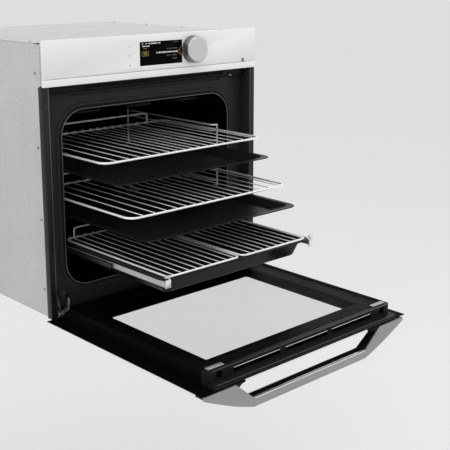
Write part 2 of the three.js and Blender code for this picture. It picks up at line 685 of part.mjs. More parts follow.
// ---------------------------------------------------------------- shelves
function buildShelves() {
  add("wire_rack_upper", wireRack(UPPER_RACK), MATERIAL.chrome);
  add("wire_rack_lower", wireRack(LOWER_RACK), MATERIAL.chrome);
  add("tray_dimpled", tray(DIMPLED_TRAY, 14, 30), MATERIAL.enamel);
  add("tray_flat", tray(FLAT_TRAY, 14, 24), MATERIAL.enamel);
  add("deep_tray", tray(DEEP_TRAY, 14, 13), MATERIAL.enamel);
  for (const [word, side] of SIDES) {
    add("half_grid_" + word, halfGrid(side), MATERIAL.chrome);
    add("rail_outer_" + word, railOuter(side), MATERIAL.galvanised);
    add("rail_middle_" + word, railMiddle(side), MATERIAL.galvanised);
    add("rail_inner_" + word, railInner(side), MATERIAL.brushedSteel);
  }
}

// Shelf wires stand closer together towards the middle of the rack.
function rackWires() {
  const places = [];
  let [x, step] = [10.5, 21.5];
  while (x < RACK.half - 20) {
    places.push(-x, x);
    x += step;
    step += 1.55;
  }
  return places;
}

function frameRing([x0, x1], [y0, y1], z, size, corner) {
  const grow = size / 2;
  const outer = { x: [x0 - grow, x1 + grow], y: [y0 - grow, y1 + grow], r: corner + grow };
  const inner = { x: [x0 + grow, x1 - grow], y: [y0 + grow, y1 - grow], r: corner - grow };
  const outside = loft([{ ...outer, z: z - grow }, { ...outer, z: z + grow }]);
  return cut(outside, loft([{ ...inner, z: z - grow - 1 }, { ...inner, z: z + grow + 1 }]));
}

function bail(halfWidth, y, z, rise, radius) {
  const top = z + rise;
  const shoulder = 8;
  return bentWire(
    [
      [-halfWidth, y, z],
      [-halfWidth, y, top - shoulder],
      [-halfWidth + shoulder, y, top],
      [halfWidth - shoulder, y, top],
      [halfWidth, y, top - shoulder],
      [halfWidth, y, z],
    ],
    radius,
  );
}

function wireRack({ z, front }) {
  const { half, depth, frame, wire, bailRise, bailHalf } = RACK;
  const ring = frameRing([-half, half], [front, front + depth], z, frame, 22);
  const wires = rackWires().map((x) =>
    bar([x, front - 1, z + 3.6], [x, front + depth + 1, z + 3.6], wire / 2),
  );
  return join(ring, bail(bailHalf, front + depth, z, bailRise, 2.6), ...wires);
}

function tray({ z, front, half, depth, floor, corner }, rim, slope) {
  const thick = 1.2;
  const back = front + depth;
  const section = (inset, height) => ({
    x: [-half + inset, half - inset],
    y: [front + inset, back - inset],
    r: Math.max(corner - inset * 0.3, 6),
    z: height,
  });
  const flange = loft([section(0, z - SHEET), section(0, z)]);
  const bowl = loft([section(rim + slope, floor), section(rim - thick, z - 0.5)]);
  const room = loft([section(rim + slope + thick * 0.6, floor + thick), section(rim, z + 0.5)]);
  return cut(join(flange, bowl), room);
}

function halfGrid(side) {
  const { half, front, back, z, first, step, inner, frame } = GRID;
  const ring = frameRing(mirrored(side, [inner, half]), [front, back], z, frame, 12);
  const bars = Array.from({ length: GRID_WIRES.count }, (_, i) => {
    const x = side * (first + step * i);
    return bar([x, front - 1, z + 3.2], [x, back + 1, z + 3.2], GRID_WIRES.size / 2);
  });
  const span = (half - inner) / 2;
  const hoop = bail(span - 22, back, z, 22, 2.4).translate([side * (inner + span), 0, 0]);
  return join(ring, hoop, ...bars);
}

const railSpan = (front) => [front, front + RAIL.length];

function railOuter(side) {
  const y = railSpan(RAIL.closedFront);
  const [low, high] = RAIL.z;
  const web = box(mirrored(side, [220, 221.5]), y, [low - 0.6, high + 0.6]);
  const lips = [low - 0.6, high - 0.6].map((z) => box(mirrored(side, [217.6, 221.5]), y, [z, z + 1.2]));
  return join(web, ...lips);
}

function railMiddle(side) {
  const y = railSpan(RAIL.closedFront - RAIL.travel / 2);
  const [low, high] = RAIL.z;
  return box(mirrored(side, [214, 219.4]), y, [low + 1.2, high - 1.2]);
}

function railInner(side) {
  const [low, high] = RAIL.z;
  const front = RAIL.closedFront - RAIL.travel;
  const channel = box(mirrored(side, [207, 212.3]), railSpan(front), [low, high]);
  const slot = box(mirrored(side, [206, 209.5]), [front - 5, front + RAIL.length + 1], [low + 2, high - 2]);
  const plate = loft([
    { x: mirrored(side, HOOK.x), y: [HOOK.front, HOOK.front + 3.2], r: 1.2, z: HOOK.z[0] },
    { x: mirrored(side, HOOK.x), y: [HOOK.front, HOOK.front + 3.2], r: 1.2, z: HOOK.z[1] },
  ]);
  const neckZ = [HOOK.z[1] - 1, HOOK.fingerZ[1] - 1];
  const neck = box(mirrored(side, [201, 206]), [HOOK.front, HOOK.front + 1.6], neckZ);
  const finger = box(mirrored(side, HOOK.x), [HOOK.front, HOOK.front + 5], HOOK.fingerZ);
  return join(cut(channel, slot), plate, neck, finger);
}

buildCasing();
buildCavity();
buildFans();
buildControls();
buildFixings();
buildDoor();
buildShelves();
oven.position.y = -BASE_MIDDLE_Y;

export default oven;
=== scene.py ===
"""Finished looks of a built-in wall oven, its door down and five shelves drawn out in steps.

Each class is one sub-assembly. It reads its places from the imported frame, builds its meshes in metres
in the frame's own axes, dresses them, and hangs them on the frame's bodies.
"""

import json
import logging
import math
import random
from dataclasses import dataclass, field
from enum import Enum

import bmesh
import bpy
from mathutils import Matrix, Vector


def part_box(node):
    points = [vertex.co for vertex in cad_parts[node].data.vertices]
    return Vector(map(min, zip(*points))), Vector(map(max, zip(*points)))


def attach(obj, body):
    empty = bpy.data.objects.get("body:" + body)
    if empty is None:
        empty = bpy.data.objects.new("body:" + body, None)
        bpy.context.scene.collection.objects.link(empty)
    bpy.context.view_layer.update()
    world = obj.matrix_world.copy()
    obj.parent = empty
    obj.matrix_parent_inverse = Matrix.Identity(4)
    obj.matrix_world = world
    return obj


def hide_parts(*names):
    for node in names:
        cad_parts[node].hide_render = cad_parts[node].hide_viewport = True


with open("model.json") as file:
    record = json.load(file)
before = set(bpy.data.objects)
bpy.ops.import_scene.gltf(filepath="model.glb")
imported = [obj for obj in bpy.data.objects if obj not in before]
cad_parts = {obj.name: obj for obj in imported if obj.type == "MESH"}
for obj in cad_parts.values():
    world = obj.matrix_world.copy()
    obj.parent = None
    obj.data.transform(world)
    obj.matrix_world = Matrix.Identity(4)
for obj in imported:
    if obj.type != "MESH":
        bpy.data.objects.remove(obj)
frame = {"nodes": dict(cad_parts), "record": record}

log = logging.getLogger("wall_oven")

SMOOTH_ANGLE = 34  # degrees: edges sharper than this stay crisp
BEVEL_ANGLE = 40  # degrees: edges sharper than this are rounded
FLAT_ANGLE = 0.6  # degrees: faces closer than this become one
MERGE = 1e-6  # points closer than this become one
QUARTER = math.pi / 2
COAT_ROUGHNESS = 0.06
WIRE_FACES = 3  # of a round wire's section, in each quarter
SENSOR = 36  # millimetres across
VIEW_TRANSFORM = "Standard"
Point = tuple[float, float, float]
Pair = tuple[float, float]
Source = bpy.types.NodeSocket | float
Thing = bpy.types.Object

BODY_OF = {node: body for body, nodes in frame["record"]["behaviour"]["bodies"].items() for node in nodes}


class Side(Enum):
    """The two hands of a mirrored piece, with the sign of its X."""

    LEFT = -1
    RIGHT = 1

    @property
    def word(self) -> str:
        """The word that ends a mirrored piece's name."""
        return self.name.lower()

    def span(self, near: float, far: float) -> Pair:
        """The low and high X of a stretch given by its distances from the middle."""
        return (near, far) if self is Side.RIGHT else (-far, -near)


class Grain(Enum):
    """The surface texture that a finish carries, with the detail of its noise."""

    PEEL = 2.0
    BRUSHED = 6.0
    SPANGLE = 1.0
    CAST = 4.0


# ---------------------------------------------------------------- node trees


class Forge:
    """Adds and links nodes in a shader or geometry tree."""

    def __init__(self, tree: bpy.types.NodeTree) -> None:
        """Takes up a tree."""
        self.tree = tree

    @staticmethod
    def group(kind: str, name: str, inputs: dict[str, str], outputs: dict[str, str]) -> "Forge":
        """Starts a node group.

        Args:
            kind: "Shader" or "Geometry".
            name: the group's name.
            inputs: each input and its kind of socket.
            outputs: each output and its kind of socket.

        Returns:
            A forge that also holds the group's inputs as given and its outputs as result.
        """
        forge = Forge(bpy.data.node_groups.new(name, f"{kind}NodeTree"))
        for way, labels in (("INPUT", inputs), ("OUTPUT", outputs)):
            for label, socket in labels.items():
                forge.tree.interface.new_socket(name=label, in_out=way, socket_type=f"NodeSocket{socket}")
        forge.given = forge.add("NodeGroupInput").outputs
        forge.result = forge.add("NodeGroupOutput").inputs
        return forge

    def add(self, kind: str, sockets: dict | None = None, **settings: object) -> bpy.types.Node:
        """Adds one node.

        Args:
            kind: the node's type name.
            sockets: input name or number to a value or a socket to link.
            **settings: properties of the node.

        Returns:
            The node.
        """
        node = self.tree.nodes.new(kind)
        for key, setting in settings.items():
            setattr(node, key, setting)
        for key, source in (sockets or {}).items():
            if isinstance(source, bpy.types.NodeSocket):
                self.tree.links.new(source, node.inputs[key])
            else:
                node.inputs[key].default_value = source
        return node

    def sum(self, operation: str, first: Source, second: Source = 0.0, third: Source = 0.0) -> Source:
        """A math node's result."""
        return self.add("ShaderNodeMath", {0: first, 1: second, 2: third}, operation=operation).outputs[0]

    def vector(self, operation: str, first: Source, second: Source) -> Source:
        """A vector math node's result."""
        return self.add("ShaderNodeVectorMath", {0: first, 1: second}, operation=operation).outputs[0]

    def copies(self, points: Source, piece: Source) -> bpy.types.NodeTree:
        """Copies a piece to points and makes the copies real.

        Args:
            points: geometry socket of the points.
            piece: geometry socket of the copied piece.

        Returns:
            The finished tree.
        """
        spread = self.add("GeometryNodeInstanceOnPoints", {"Points": points, "Instance": piece})
        real = self.add("GeometryNodeRealizeInstances", {"Geometry": spread.outputs["Instances"]})
        self.tree.links.new(real.outputs["Geometry"], self.result["Geometry"])
        return self.tree


def grain_group(kind: Grain) -> bpy.types.NodeTree:
    """Builds one surface texture as a shader group with a shade and a height.

    Args:
        kind: which texture.

    Returns:
        The group.
    """
    name = f"surface_{kind.name.lower()}"
    if name in bpy.data.node_groups:
        return bpy.data.node_groups[name]
    forge = Forge.group("Shader", name, {"Per metre": "Vector"}, {"Shade": "Float", "Height": "Float"})
    place = forge.add("ShaderNodeTexCoord").outputs["Object"]
    scaled = forge.vector("MULTIPLY", place, forge.given["Per metre"])
    height = forge.add("ShaderNodeTexNoise", {"Vector": scaled, "Detail": kind.value}).outputs["Fac"]
    shade = height
    if kind is Grain.SPANGLE:
        cells = forge.add("ShaderNodeTexVoronoi", {"Vector": scaled})
        shade = forge.add("ShaderNodeRGBToBW", {"Color": cells.outputs["Color"]}).outputs["Val"]
    forge.tree.links.new(shade, forge.result["Shade"])
    forge.tree.links.new(height, forge.result["Height"])
    return forge.tree


def soil_group() -> bpy.types.NodeTree:
    """Builds the slow, large variation that handling and heat leave on every surface.

    Returns:
        A shader group with the output Mask.
    """
    name, per_metre, detail = "slow_variation", 9.0, 3.0
    if name in bpy.data.node_groups:
        return bpy.data.node_groups[name]
    forge = Forge.group("Shader", name, {}, {"Mask": "Float"})
    place = forge.add("ShaderNodeTexCoord").outputs["Object"]
    cloud = forge.add("ShaderNodeTexNoise", {"Vector": place, "Scale": per_metre, "Detail": detail})
    forge.tree.links.new(cloud.outputs["Fac"], forge.result["Mask"])
    return forge.tree


def wire_rank_tree() -> bpy.types.NodeTree:
    """Builds a rank of wires along Y whose spacing grows from the middle outwards.

    Returns:
        The tree.
    """
    name = "wire_rank"
    if name in bpy.data.node_groups:
        return bpy.data.node_groups[name]
    floats = ("First", "Gap", "Growth", "Mirrored", "Hand", "Length", "Radius")
    inputs = {"Count": "Int", "Middle": "Vector", **{label: "Float" for label in floats}}
    forge = Forge.group("Geometry", name, inputs, {"Geometry": "Geometry"})
    given, mirrored = forge.given, forge.given["Mirrored"]
    line = forge.add("GeometryNodeMeshLine", {"Count": given["Count"], "Offset": (0, 0, 0)})
    number = forge.add("GeometryNodeInputIndex").outputs["Index"]
    half = forge.sum("FLOOR", forge.sum("MULTIPLY", number, 0.5))
    pair = forge.sum("MULTIPLY_ADD", mirrored, forge.sum("SUBTRACT", half, number), number)
    odd = forge.sum("MULTIPLY", forge.sum("MODULO", number, 2.0), mirrored)
    sign = forge.sum("MULTIPLY_ADD", odd, -2.0, 1.0)
    grown = forge.sum("MULTIPLY", forge.sum("MULTIPLY", pair, forge.sum("SUBTRACT", pair, 1.0)), 0.5)
    reach = forge.sum("MULTIPLY_ADD", pair, given["Gap"], given["First"])
    reach = forge.sum("MULTIPLY_ADD", grown, given["Growth"], reach)
    across = forge.sum("MULTIPLY", forge.sum("MULTIPLY", reach, sign), given["Hand"])
    spot = forge.add("ShaderNodeCombineXYZ", {"X": across}).outputs[0]
    place = forge.vector("ADD", spot, given["Middle"])
    points = forge.add("GeometryNodeSetPosition", {"Geometry": line.outputs["Mesh"], "Position": place})
    wire = forge.add("GeometryNodeMeshCylinder", {"Vertices": 12, "Radius": given["Radius"],
                                                  "Depth": given["Length"]}).outputs["Mesh"]
    laid = forge.add("GeometryNodeTransform", {"Geometry": wire, "Rotation": (QUARTER, 0, 0)})
    return forge.copies(points.outputs["Geometry"], laid.outputs["Geometry"])


def row_tree() -> bpy.types.NodeTree:
    """Builds a straight row of copies of one piece.

    Returns:
        The tree.
    """
    name = "row_of_copies"
    if name in bpy.data.node_groups:
        return bpy.data.node_groups[name]
    inputs = {"Piece": "Object", "Count": "Int", "First place": "Vector", "Step": "Vector"}
    forge = Forge.group("Geometry", name, inputs, {"Geometry": "Geometry"})
    line = forge.add("GeometryNodeMeshLine", {
        "Count": forge.given["Count"], "Start Location": forge.given["First place"],
        "Offset": forge.given["Step"],
    })
    piece = forge.add("GeometryNodeObjectInfo", {"Object": forge.given["Piece"]})
    return forge.copies(line.outputs["Mesh"], piece.outputs["Geometry"])


def dimple_tree() -> bpy.types.NodeTree:
    """Builds low round dimples in staggered rows over a rectangle.

    Returns:
        The tree.
    """
    inputs = {"Across": "Int", "Along": "Int", "Middle": "Vector",
              **{label: "Float" for label in ("Width", "Depth", "Radius", "Rise")}}
    forge = Forge.group("Geometry", "dimple_field", inputs, {"Geometry": "Geometry"})
    given = forge.given
    grid = forge.add("GeometryNodeMeshGrid", {
        "Size X": given["Width"], "Size Y": given["Depth"], "Vertices X": given["Across"],
        "Vertices Y": given["Along"],
    })
    number = forge.add("GeometryNodeInputIndex").outputs["Index"]
    odd = forge.sum("MODULO", forge.sum("MODULO", number, given["Along"]), 2.0)
    step = forge.sum("DIVIDE", given["Width"], given["Across"])
    across = forge.sum("MULTIPLY", forge.sum("MULTIPLY", odd, step), 0.5)
    shift = forge.add("ShaderNodeCombineXYZ", {"X": across})
    place = forge.vector("ADD", shift.outputs[0], given["Middle"])
    points = forge.add("GeometryNodeSetPosition", {"Geometry": grid.outputs["Mesh"], "Offset": place})
    dome = forge.add("GeometryNodeMeshCone", {
        "Vertices": 8, "Radius Bottom": given["Radius"], "Depth": given["Rise"],
        "Radius Top": forge.sum("MULTIPLY", given["Radius"], 0.45),
    })
    return forge.copies(points.outputs["Geometry"], dome.outputs["Mesh"])


# ---------------------------------------------------------------- finishes


def grey(level: float, blue: float | None = None) -> Point:
    """A linear grey, with its own blue where it leans warm or cold."""
    return (level, level, level if blue is None else blue)


@dataclass(frozen=True)
class Finish:
    """A painted, plated or moulded surface.

    Attributes:
        name: the finish's name.
        slot: the record's material slot it belongs to; not used.
        colour: base colour, linear.
        second: the colour it drifts towards in the grain.
        metallic: 0 for paint and plastic, 1 for bare metal.
        roughness: lowest roughness.
        spread: how much rougher the roughest grain is.
        grain: the surface texture.
        per_metre: grain cells per metre along X, Y and Z.
        bump: height of the grain in metres.
        coat: clear coat weight.
        glow: emission strength.
        ior: index of refraction, lower where the surface barely mirrors.
        cover: share of the light it stops, low for a clear pane.
    """

    name: str
    slot: str
    colour: Point
    second: Point
    metallic: float = 0.0
    roughness: float = 0.35
    spread: float = 0.1
    grain: Grain = Grain.PEEL
    per_metre: Point = grey(420.0)
    bump: float = 0.00002
    coat: float = 0.0
    glow: float = 0.0
    ior: float = 1.45
    cover: float = 1.0

    def material(self) -> bpy.types.Material:
        """The finish as a Blender material, made once.

        Returns:
            The material.
        """
        title = f"{self.name}_surface"  # the frame's own plain materials keep the bare names
        if title in bpy.data.materials:
            return bpy.data.materials[title]
        made = bpy.data.materials.new(title)
        made.use_nodes = True
        made.diffuse_color = (*self.colour, 1.0)
        self._wire_up(Forge(made.node_tree))
        return made

    def _wire_up(self, forge: Forge) -> None:
        """Connects grain and slow variation to the shader.

        Args:
            forge: a forge on the material's tree.
        """
        shader = forge.tree.nodes["Principled BSDF"].inputs
        for label, value in (("Metallic", self.metallic), ("Coat Weight", self.coat), ("IOR", self.ior),
                             ("Coat Roughness", COAT_ROUGHNESS), ("Alpha", self.cover),
                             ("Emission Strength", self.glow)):
            shader[label].default_value = value
        texture = forge.add("ShaderNodeGroup", {"Per metre": self.per_metre},
                            node_tree=grain_group(self.grain)).outputs
        soil = forge.add("ShaderNodeGroup", node_tree=soil_group()).outputs["Mask"]
        colour = forge.add("ShaderNodeMix", {
            "A": (*self.colour, 1.0), "B": (*self.second, 1.0),
            "Factor": forge.sum("MULTIPLY", texture["Shade"], soil),
        }, data_type="RGBA").outputs["Result"]
        rough = forge.add("ShaderNodeMapRange", {
            "From Max": 2.0, "To Min": self.roughness, "To Max": self.roughness + self.spread,
            "Value": forge.sum("ADD", texture["Shade"], soil),
        }).outputs["Result"]
        normal = forge.add("ShaderNodeBump", {
            "Distance": self.bump, "Strength": 1.0, "Height": texture["Height"],
        }).outputs["Normal"]
        for label, source in (("Base Color", colour), ("Roughness", rough), ("Normal", normal)):
            forge.tree.links.new(source, shader[label])
        if self.glow:
            forge.tree.links.new(colour, shader["Emission Color"])


BRUSHED, CAST = Grain.BRUSHED, Grain.CAST
WHITE = Finish("white_gloss", "white_panel", grey(0.85, 0.845), grey(0.825, 0.82), 0, 0.22, 0.06, coat=0.15)
SCREEN_GLASS = Finish("screen_glass", "black_glass", grey(0.002, 0.0023), grey(0.003, 0.0033), 0, 0.06, 0.03,
                      bump=0.000002, ior=1.08)
PRINT = Finish("black_glass_print", "black_glass", grey(0.0022, 0.0024), grey(0.0036, 0.0039), 0, 0.1, 0.05,
               bump=0.000002, ior=1.045)
CLEAR = Finish("clear_pane", "clear_glass", (0.012, 0.013, 0.013), (0.016, 0.017, 0.017), 0, 0.1, 0.04,
               bump=0.0, cover=0.04)
SATIN = Finish("satin_silver", "satin_silver", grey(0.35), grey(0.29), 0.85, 0.3, 0.14, BRUSHED,
               (14.0, 1500.0, 1500.0), 0.000012)
SPUN = Finish("spun_silver", "satin_silver", grey(0.6), grey(0.5), 0.8, 0.26, 0.12, BRUSHED, grey(900.0),
              0.000006)
COLLAR = Finish("collar_steel", "satin_silver", grey(0.24), grey(0.17), 0.9, 0.24, 0.12, BRUSHED,
                (900.0, 900.0, 60.0), 0.00001)
# a glowing near-white for a painted highlight where the middle pane's edge shows through the cap's slots
PAINTED_GLASS_GLINT = Finish("lit_glass_edge", "clear_glass", grey(0.9), grey(0.84), 0, 0.3, 0.1, glow=0.3)
# a near-white used for painted highlights, and for the bright satin plates of the rail hooks
PAINTED_HIGHLIGHT_AND_BRIGHT_SATIN = Finish("polished_edge", "satin_silver", grey(0.95), grey(0.86), 0.7, 0.2, 0.08, BRUSHED,
                     (20.0, 900.0, 900.0), 0.000004)
STEEL = Finish("plated_steel", "brushed_steel", grey(0.42, 0.415), grey(0.3, 0.295), 0.95, 0.28, 0.15,
               BRUSHED, (1200.0, 18.0, 1200.0), 0.00001)
# a dark steel for the trim screws, also used as painted shade on the middle runner
DARK_STEEL_AND_PAINTED_RAIL_SHADE = Finish("dark_steel", "brushed_steel", grey(0.05), grey(0.035), 0.8, 0.28, 0.12)
CLIP_STEEL = Finish("clip_steel", "brushed_steel", grey(0.46), grey(0.34), 0.7, 0.3, 0.12)
LEVER_STEEL = Finish("lever_steel", "brushed_steel", grey(0.4, 0.395), grey(0.26, 0.255), 0.9, 0.2, 0.12,
                     BRUSHED, (900.0, 20.0, 900.0), 0.000008)
GRIP_SATIN = Finish("grip_satin", "satin_silver", grey(0.26), grey(0.2), 0.85, 0.28, 0.12, BRUSHED,
                    (900.0, 60.0, 900.0), 0.000008)
CAP_GREY = Finish("cap_grey", "black_plastic", grey(0.07), grey(0.045), 0.3, 0.36, 0.14, BRUSHED,
                  (1600.0, 40.0, 1600.0), 0.00002)
CHROME = Finish("bright_chrome", "chrome_wire", grey(0.95, 0.945), grey(0.88, 0.875), 0.32, 0.24, 0.08,
                per_metre=grey(60.0), bump=0.000002)
RAIL_CHROME = Finish("rail_chrome", "brushed_steel", grey(0.5, 0.497), grey(0.43, 0.428), 0.55, 0.3, 0.1,
                     BRUSHED, (60.0, 6.0, 60.0), 0.000002)
CAVITY_ENAMEL = Finish("cavity_enamel", "cavity_enamel", grey(0.0016, 0.0017), grey(0.0032, 0.0033), 0, 0.24,
                       0.14, per_metre=grey(260.0), bump=0.00004, ior=1.07)
TRAY_ENAMEL = Finish("tray_enamel", "tray_enamel", grey(0.0075, 0.0076), grey(0.012, 0.0122), 0, 0.26, 0.12,
                     per_metre=grey(340.0), bump=0.00003, ior=1.17)
FRAME_ENAMEL = Finish("frame_enamel", "frame_enamel", grey(0.021, 0.0213), grey(0.03, 0.0304), 0, 0.3, 0.12,
                      per_metre=grey(520.0), bump=0.00003, ior=1.18)
DOOR_ENAMEL = Finish("door_enamel", "frame_enamel", grey(0.003, 0.0031), grey(0.006, 0.0061), 0, 0.26, 0.12,
                     per_metre=grey(520.0), bump=0.00003, ior=1.05)
# a light metallic for painted highlight lines along edges
PAINTED_EDGE_HIGHLIGHT = Finish("lip_steel", "frame_enamel", grey(0.17), grey(0.1), 0.8, 0.25, 0.12)
TRIM = Finish("trim_grey", "trim_grey", grey(0.024, 0.0244), grey(0.016, 0.0164), 0.75, 0.3, 0.12, BRUSHED,
              (1200.0, 1200.0, 16.0), 0.00001)
ZINC = Finish("zinc_sheet", "galvanised", (0.62, 0.63, 0.635), (0.44, 0.45, 0.455), 0.7, 0.4, 0.2,
              Grain.SPANGLE, grey(70.0), 0.000006)
BLACK_PLASTIC = Finish("black_plastic", "black_plastic", grey(0.009, 0.0091), grey(0.0145, 0.0146), 0, 0.28,
                       0.14, CAST, grey(900.0), 0.00002, ior=1.14)
# a near-black for painted shade in the cap's slots and catch holes
PAINTED_SHADE_BLACK = Finish("unlit_recess", "seal_rubber", grey(0.001), grey(0.002), 0, 0.8, 0.1, CAST, grey(1400.0),
              0.00002, ior=1.02)
RUBBER = Finish("seal_rubber", "seal_rubber", grey(0.005), grey(0.009), 0, 0.62, 0.15, CAST, grey(1400.0),
                0.00002, ior=1.3)
WOOL = Finish("mineral_wool", "wool", (0.46, 0.42, 0.31), (0.3, 0.27, 0.19), 0, 0.9, 0.08, CAST,
              (320.0, 60.0, 320.0), 0.0008)
ELEMENT = Finish("oxidised_tube", "heating_element", (0.016, 0.0155, 0.015), (0.032, 0.03, 0.028), 0.8, 0.42,
                 0.2, CAST, grey(700.0), 0.00003)
BOARD = Finish("solder_mask", "circuit_board", (0.02, 0.1, 0.045), (0.03, 0.14, 0.06), 0, 0.4, 0.15)
FROSTED = Finish("frosted_lamp", "lamp_glass", grey(0.5, 0.46), grey(0.4, 0.36), 0, 0.3, 0.2, glow=0.02)
ICON_GREY = Finish("touch_symbol", "white_panel", grey(0.55), grey(0.48), 0, 0.4, 0.1)


class Ink(Enum):
    """The inks shown on the screen."""

    BRIGHT = Finish("screen_white", "black_glass", grey(0.8, 0.78), grey(0.7, 0.68), 0, 0.5, 0.1, glow=0.3)
    DIM = Finish("screen_grey", "black_glass", (0.15, 0.14, 0.12), (0.12, 0.115, 0.1), 0, 0.5, 0.1, glow=0.3)
    AMBER = Finish("screen_amber", "black_glass", (0.42, 0.24, 0.045), (0.3, 0.16, 0.03), 0, 0.5, 0.1,
                   glow=0.35)
    OLIVE = Finish("screen_olive", "black_glass", (0.2, 0.165, 0.03), (0.13, 0.1, 0.02), 0, 0.5, 0.1,
                   glow=0.3)


# ---------------------------------------------------------------- workshop


def linked(name: str, data: bpy.types.ID) -> Thing:
    """Puts data into the scene as an object at the origin.

    Args:
        name: the object's name.
        data: its mesh, curve, light or camera.

    Returns:
        The object.
    """
    made = bpy.data.objects.new(name, data)
    bpy.context.scene.collection.objects.link(made)
    return made


def new_object(name: str, vertices: list, faces: list) -> Thing:
    """Makes a mesh object at the origin.

    Args:
        name: the object's name.
        vertices: its points.
        faces: vertex numbers of each face.

    Returns:
        The object.
    """
    mesh = bpy.data.meshes.new(name)
    mesh.from_pydata([tuple(v) for v in vertices], [], faces)
    return linked(name, mesh)


def face_outwards(target: Thing, merge: float = MERGE) -> Thing:
    """Merges doubled points and turns every face outwards.

    Args:
        target: the object to mend.
        merge: distance under which points are one.

    Returns:
        The same object.
    """
    work = bmesh.new()
    work.from_mesh(target.data)
    bmesh.ops.remove_doubles(work, verts=work.verts, dist=merge)
    bmesh.ops.recalc_face_normals(work, faces=work.faces)
    work.to_mesh(target.data)
    work.free()
    return target


def settle(piece: Thing, body: str, finish: Finish, replaced: tuple[str, ...] = (),
           smooth: float = SMOOTH_ANGLE) -> None:
    """Dresses a finished piece and hangs it on its body.

    Args:
        piece: the piece, at the origin.
        body: the frame body that it moves with.
        finish: its finish.
        replaced: frame nodes that it stands for.
        smooth: angle in degrees under which edges are shaded smooth.
    """
    piece.data.materials.clear()
    piece.data.materials.append(finish.material())
    piece.data.shade_smooth()
    piece.data.set_sharp_from_angle(angle=math.radians(smooth))
    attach(piece, body)
    if replaced:
        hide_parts(*replaced)
    log.info("%s: %d faces on %s", piece.name, len(piece.data.polygons), body)


def baked(source: Thing, name: str) -> Thing:
    """Turns an object with live modifiers into a plain mesh.

    Args:
        source: the object, removed afterwards.
        name: the new object's name.

    Returns:
        The plain object.
    """
    bpy.context.view_layer.update()
    mesh = bpy.data.meshes.new_from_object(source.evaluated_get(bpy.context.evaluated_depsgraph_get()))
    mesh.name = name
    bpy.data.objects.remove(source)
    return linked(name, mesh)


def bevelled(source: Thing, name: str, width: float, segments: int = 2) -> Thing:
    """Rounds an object's sharp edges.

    Args:
        source: the object, removed afterwards.
        name: the new object's name.
        width: edge radius.
        segments: faces across each rounded edge.

    Returns:
        The rounded object.
    """
    bevel = source.modifiers.new("edges", "BEVEL")
    bevel.width = width
    bevel.segments = segments
    bevel.limit_method = "ANGLE"
    bevel.angle_limit = math.radians(BEVEL_ANGLE)
    return baked(source, name)


def joined(name: str, parts: list[Thing]) -> Thing:
    """Puts several plain meshes into one object.

    Args:
        name: the new object's name.
        parts: the objects, removed afterwards.

    Returns:
        The joined object.
    """
    work = bmesh.new()
    for part in parts:
        work.from_mesh(part.data)
        bpy.data.objects.remove(part)
    mesh = bpy.data.meshes.new(name)
    work.to_mesh(mesh)
    work.free()
    return linked(name, mesh)


def softened(node: str, width: float, finish: Finish, segments: int = 2) -> None:
    """Rebuilds a frame node with its flat faces whole and its edges rounded, on the node's body.

    Args:
        node: the frame node that the piece stands for.
        width: edge radius.
        finish: the finish.
        segments: faces across each rounded edge.
    """
    work = bmesh.new()
    work.from_mesh(frame["nodes"][node].data)
    bmesh.ops.remove_doubles(work, verts=work.verts, dist=2 * MERGE)
    bmesh.ops.dissolve_limit(work, angle_limit=math.radians(FLAT_ANGLE), verts=work.verts, edges=work.edges)
    mesh = bpy.data.meshes.new(f"{node}_formed")
    work.to_mesh(mesh)
    work.free()
    blank = linked(f"{node}_blank", mesh)
    settle(bevelled(blank, f"{node}_formed", width, segments), BODY_OF[node], finish, (node,))


def rounded_loop(x: Pair, y: Pair, radius: float, steps: int = 8) -> list[Pair]:
    """Points of a rounded rectangle, anticlockwise.

    Args:
        x: low and high edge across.
        y: low and high edge along.
        radius: corner radius.
        steps: stretches in each corner.

    Returns:
        The loop's points.
    """
    loop = []
    for quarter, (cx, cy, sx, sy) in enumerate(((x[1], y[1], 1, 1), (x[0], y[1], -1, 1), (x[0], y[0], -1, -1),
                                                (x[1], y[0], 1, -1))):
        for step in range(steps + 1):
            angle = (quarter + step / steps) * QUARTER
            loop.append((cx - sx * radius + radius * math.cos(angle),
                         cy - sy * radius + radius * math.sin(angle)))
    return loop


def skinned(name: str, rings: list[list[Vector]], closed: bool = False) -> Thing:
    """Skins loops of equal length into one closed surface.

    Args:
        name: the object's name.
        rings: the loops in order.
        closed: join the last ring to the first instead of capping both.

    Returns:
        The object, faces outwards.
    """
    count, last = len(rings[0]), len(rings) - 1
    faces = [
        (a * count + i, a * count + (i + 1) % count, b * count + (i + 1) % count, b * count + i)
        for a, b in ((k, (k + 1) % len(rings)) for k in range(last + closed))
        for i in range(count)
    ]
    if not closed:
        faces += [tuple(range(count)), tuple(last * count + i for i in range(count))]
    return face_outwards(new_object(name, [point for ring in rings for point in ring], faces), 0.1 * MERGE)


def along(axis: str, u: float, v: float, w: float) -> Vector:
    """The point at u and v across an axis and w along it."""
    return Vector({"X": (w, u, v), "Y": (u, w, v), "Z": (u, v, w)}[axis])


def slab(name: str, outline: list[Pair], axis: str, span: Pair, edge: float = 0.0) -> Thing:
    """Extrudes an outline, with an optional rounded edge.

    Args:
        name: the object's name.
        outline: points in the plane across the axis, in the order of the other two axes.
        axis: "X", "Y" or "Z", the direction of extrusion.
        span: low and high value along the axis.
        edge: radius of the rounded edges.

    Returns:
        The object, faces outwards.
    """
    made = skinned(name, [[along(axis, u, v, w) for u, v in outline] for w in span])
    return bevelled(made, name, edge) if edge else made


def box_outline(x: Pair, y: Pair) -> list[Pair]:
    """The four corners of a rectangle."""
    return [(x[0], y[0]), (x[1], y[0]), (x[1], y[1]), (x[0], y[1])]


def block(name: str, x: Pair, y: Pair, z: Pair, edge: float = 0.0) -> Thing:
    """A right-angled piece with optional rounded edges."""
    return slab(name, box_outline(x, y), "Z", z, edge)


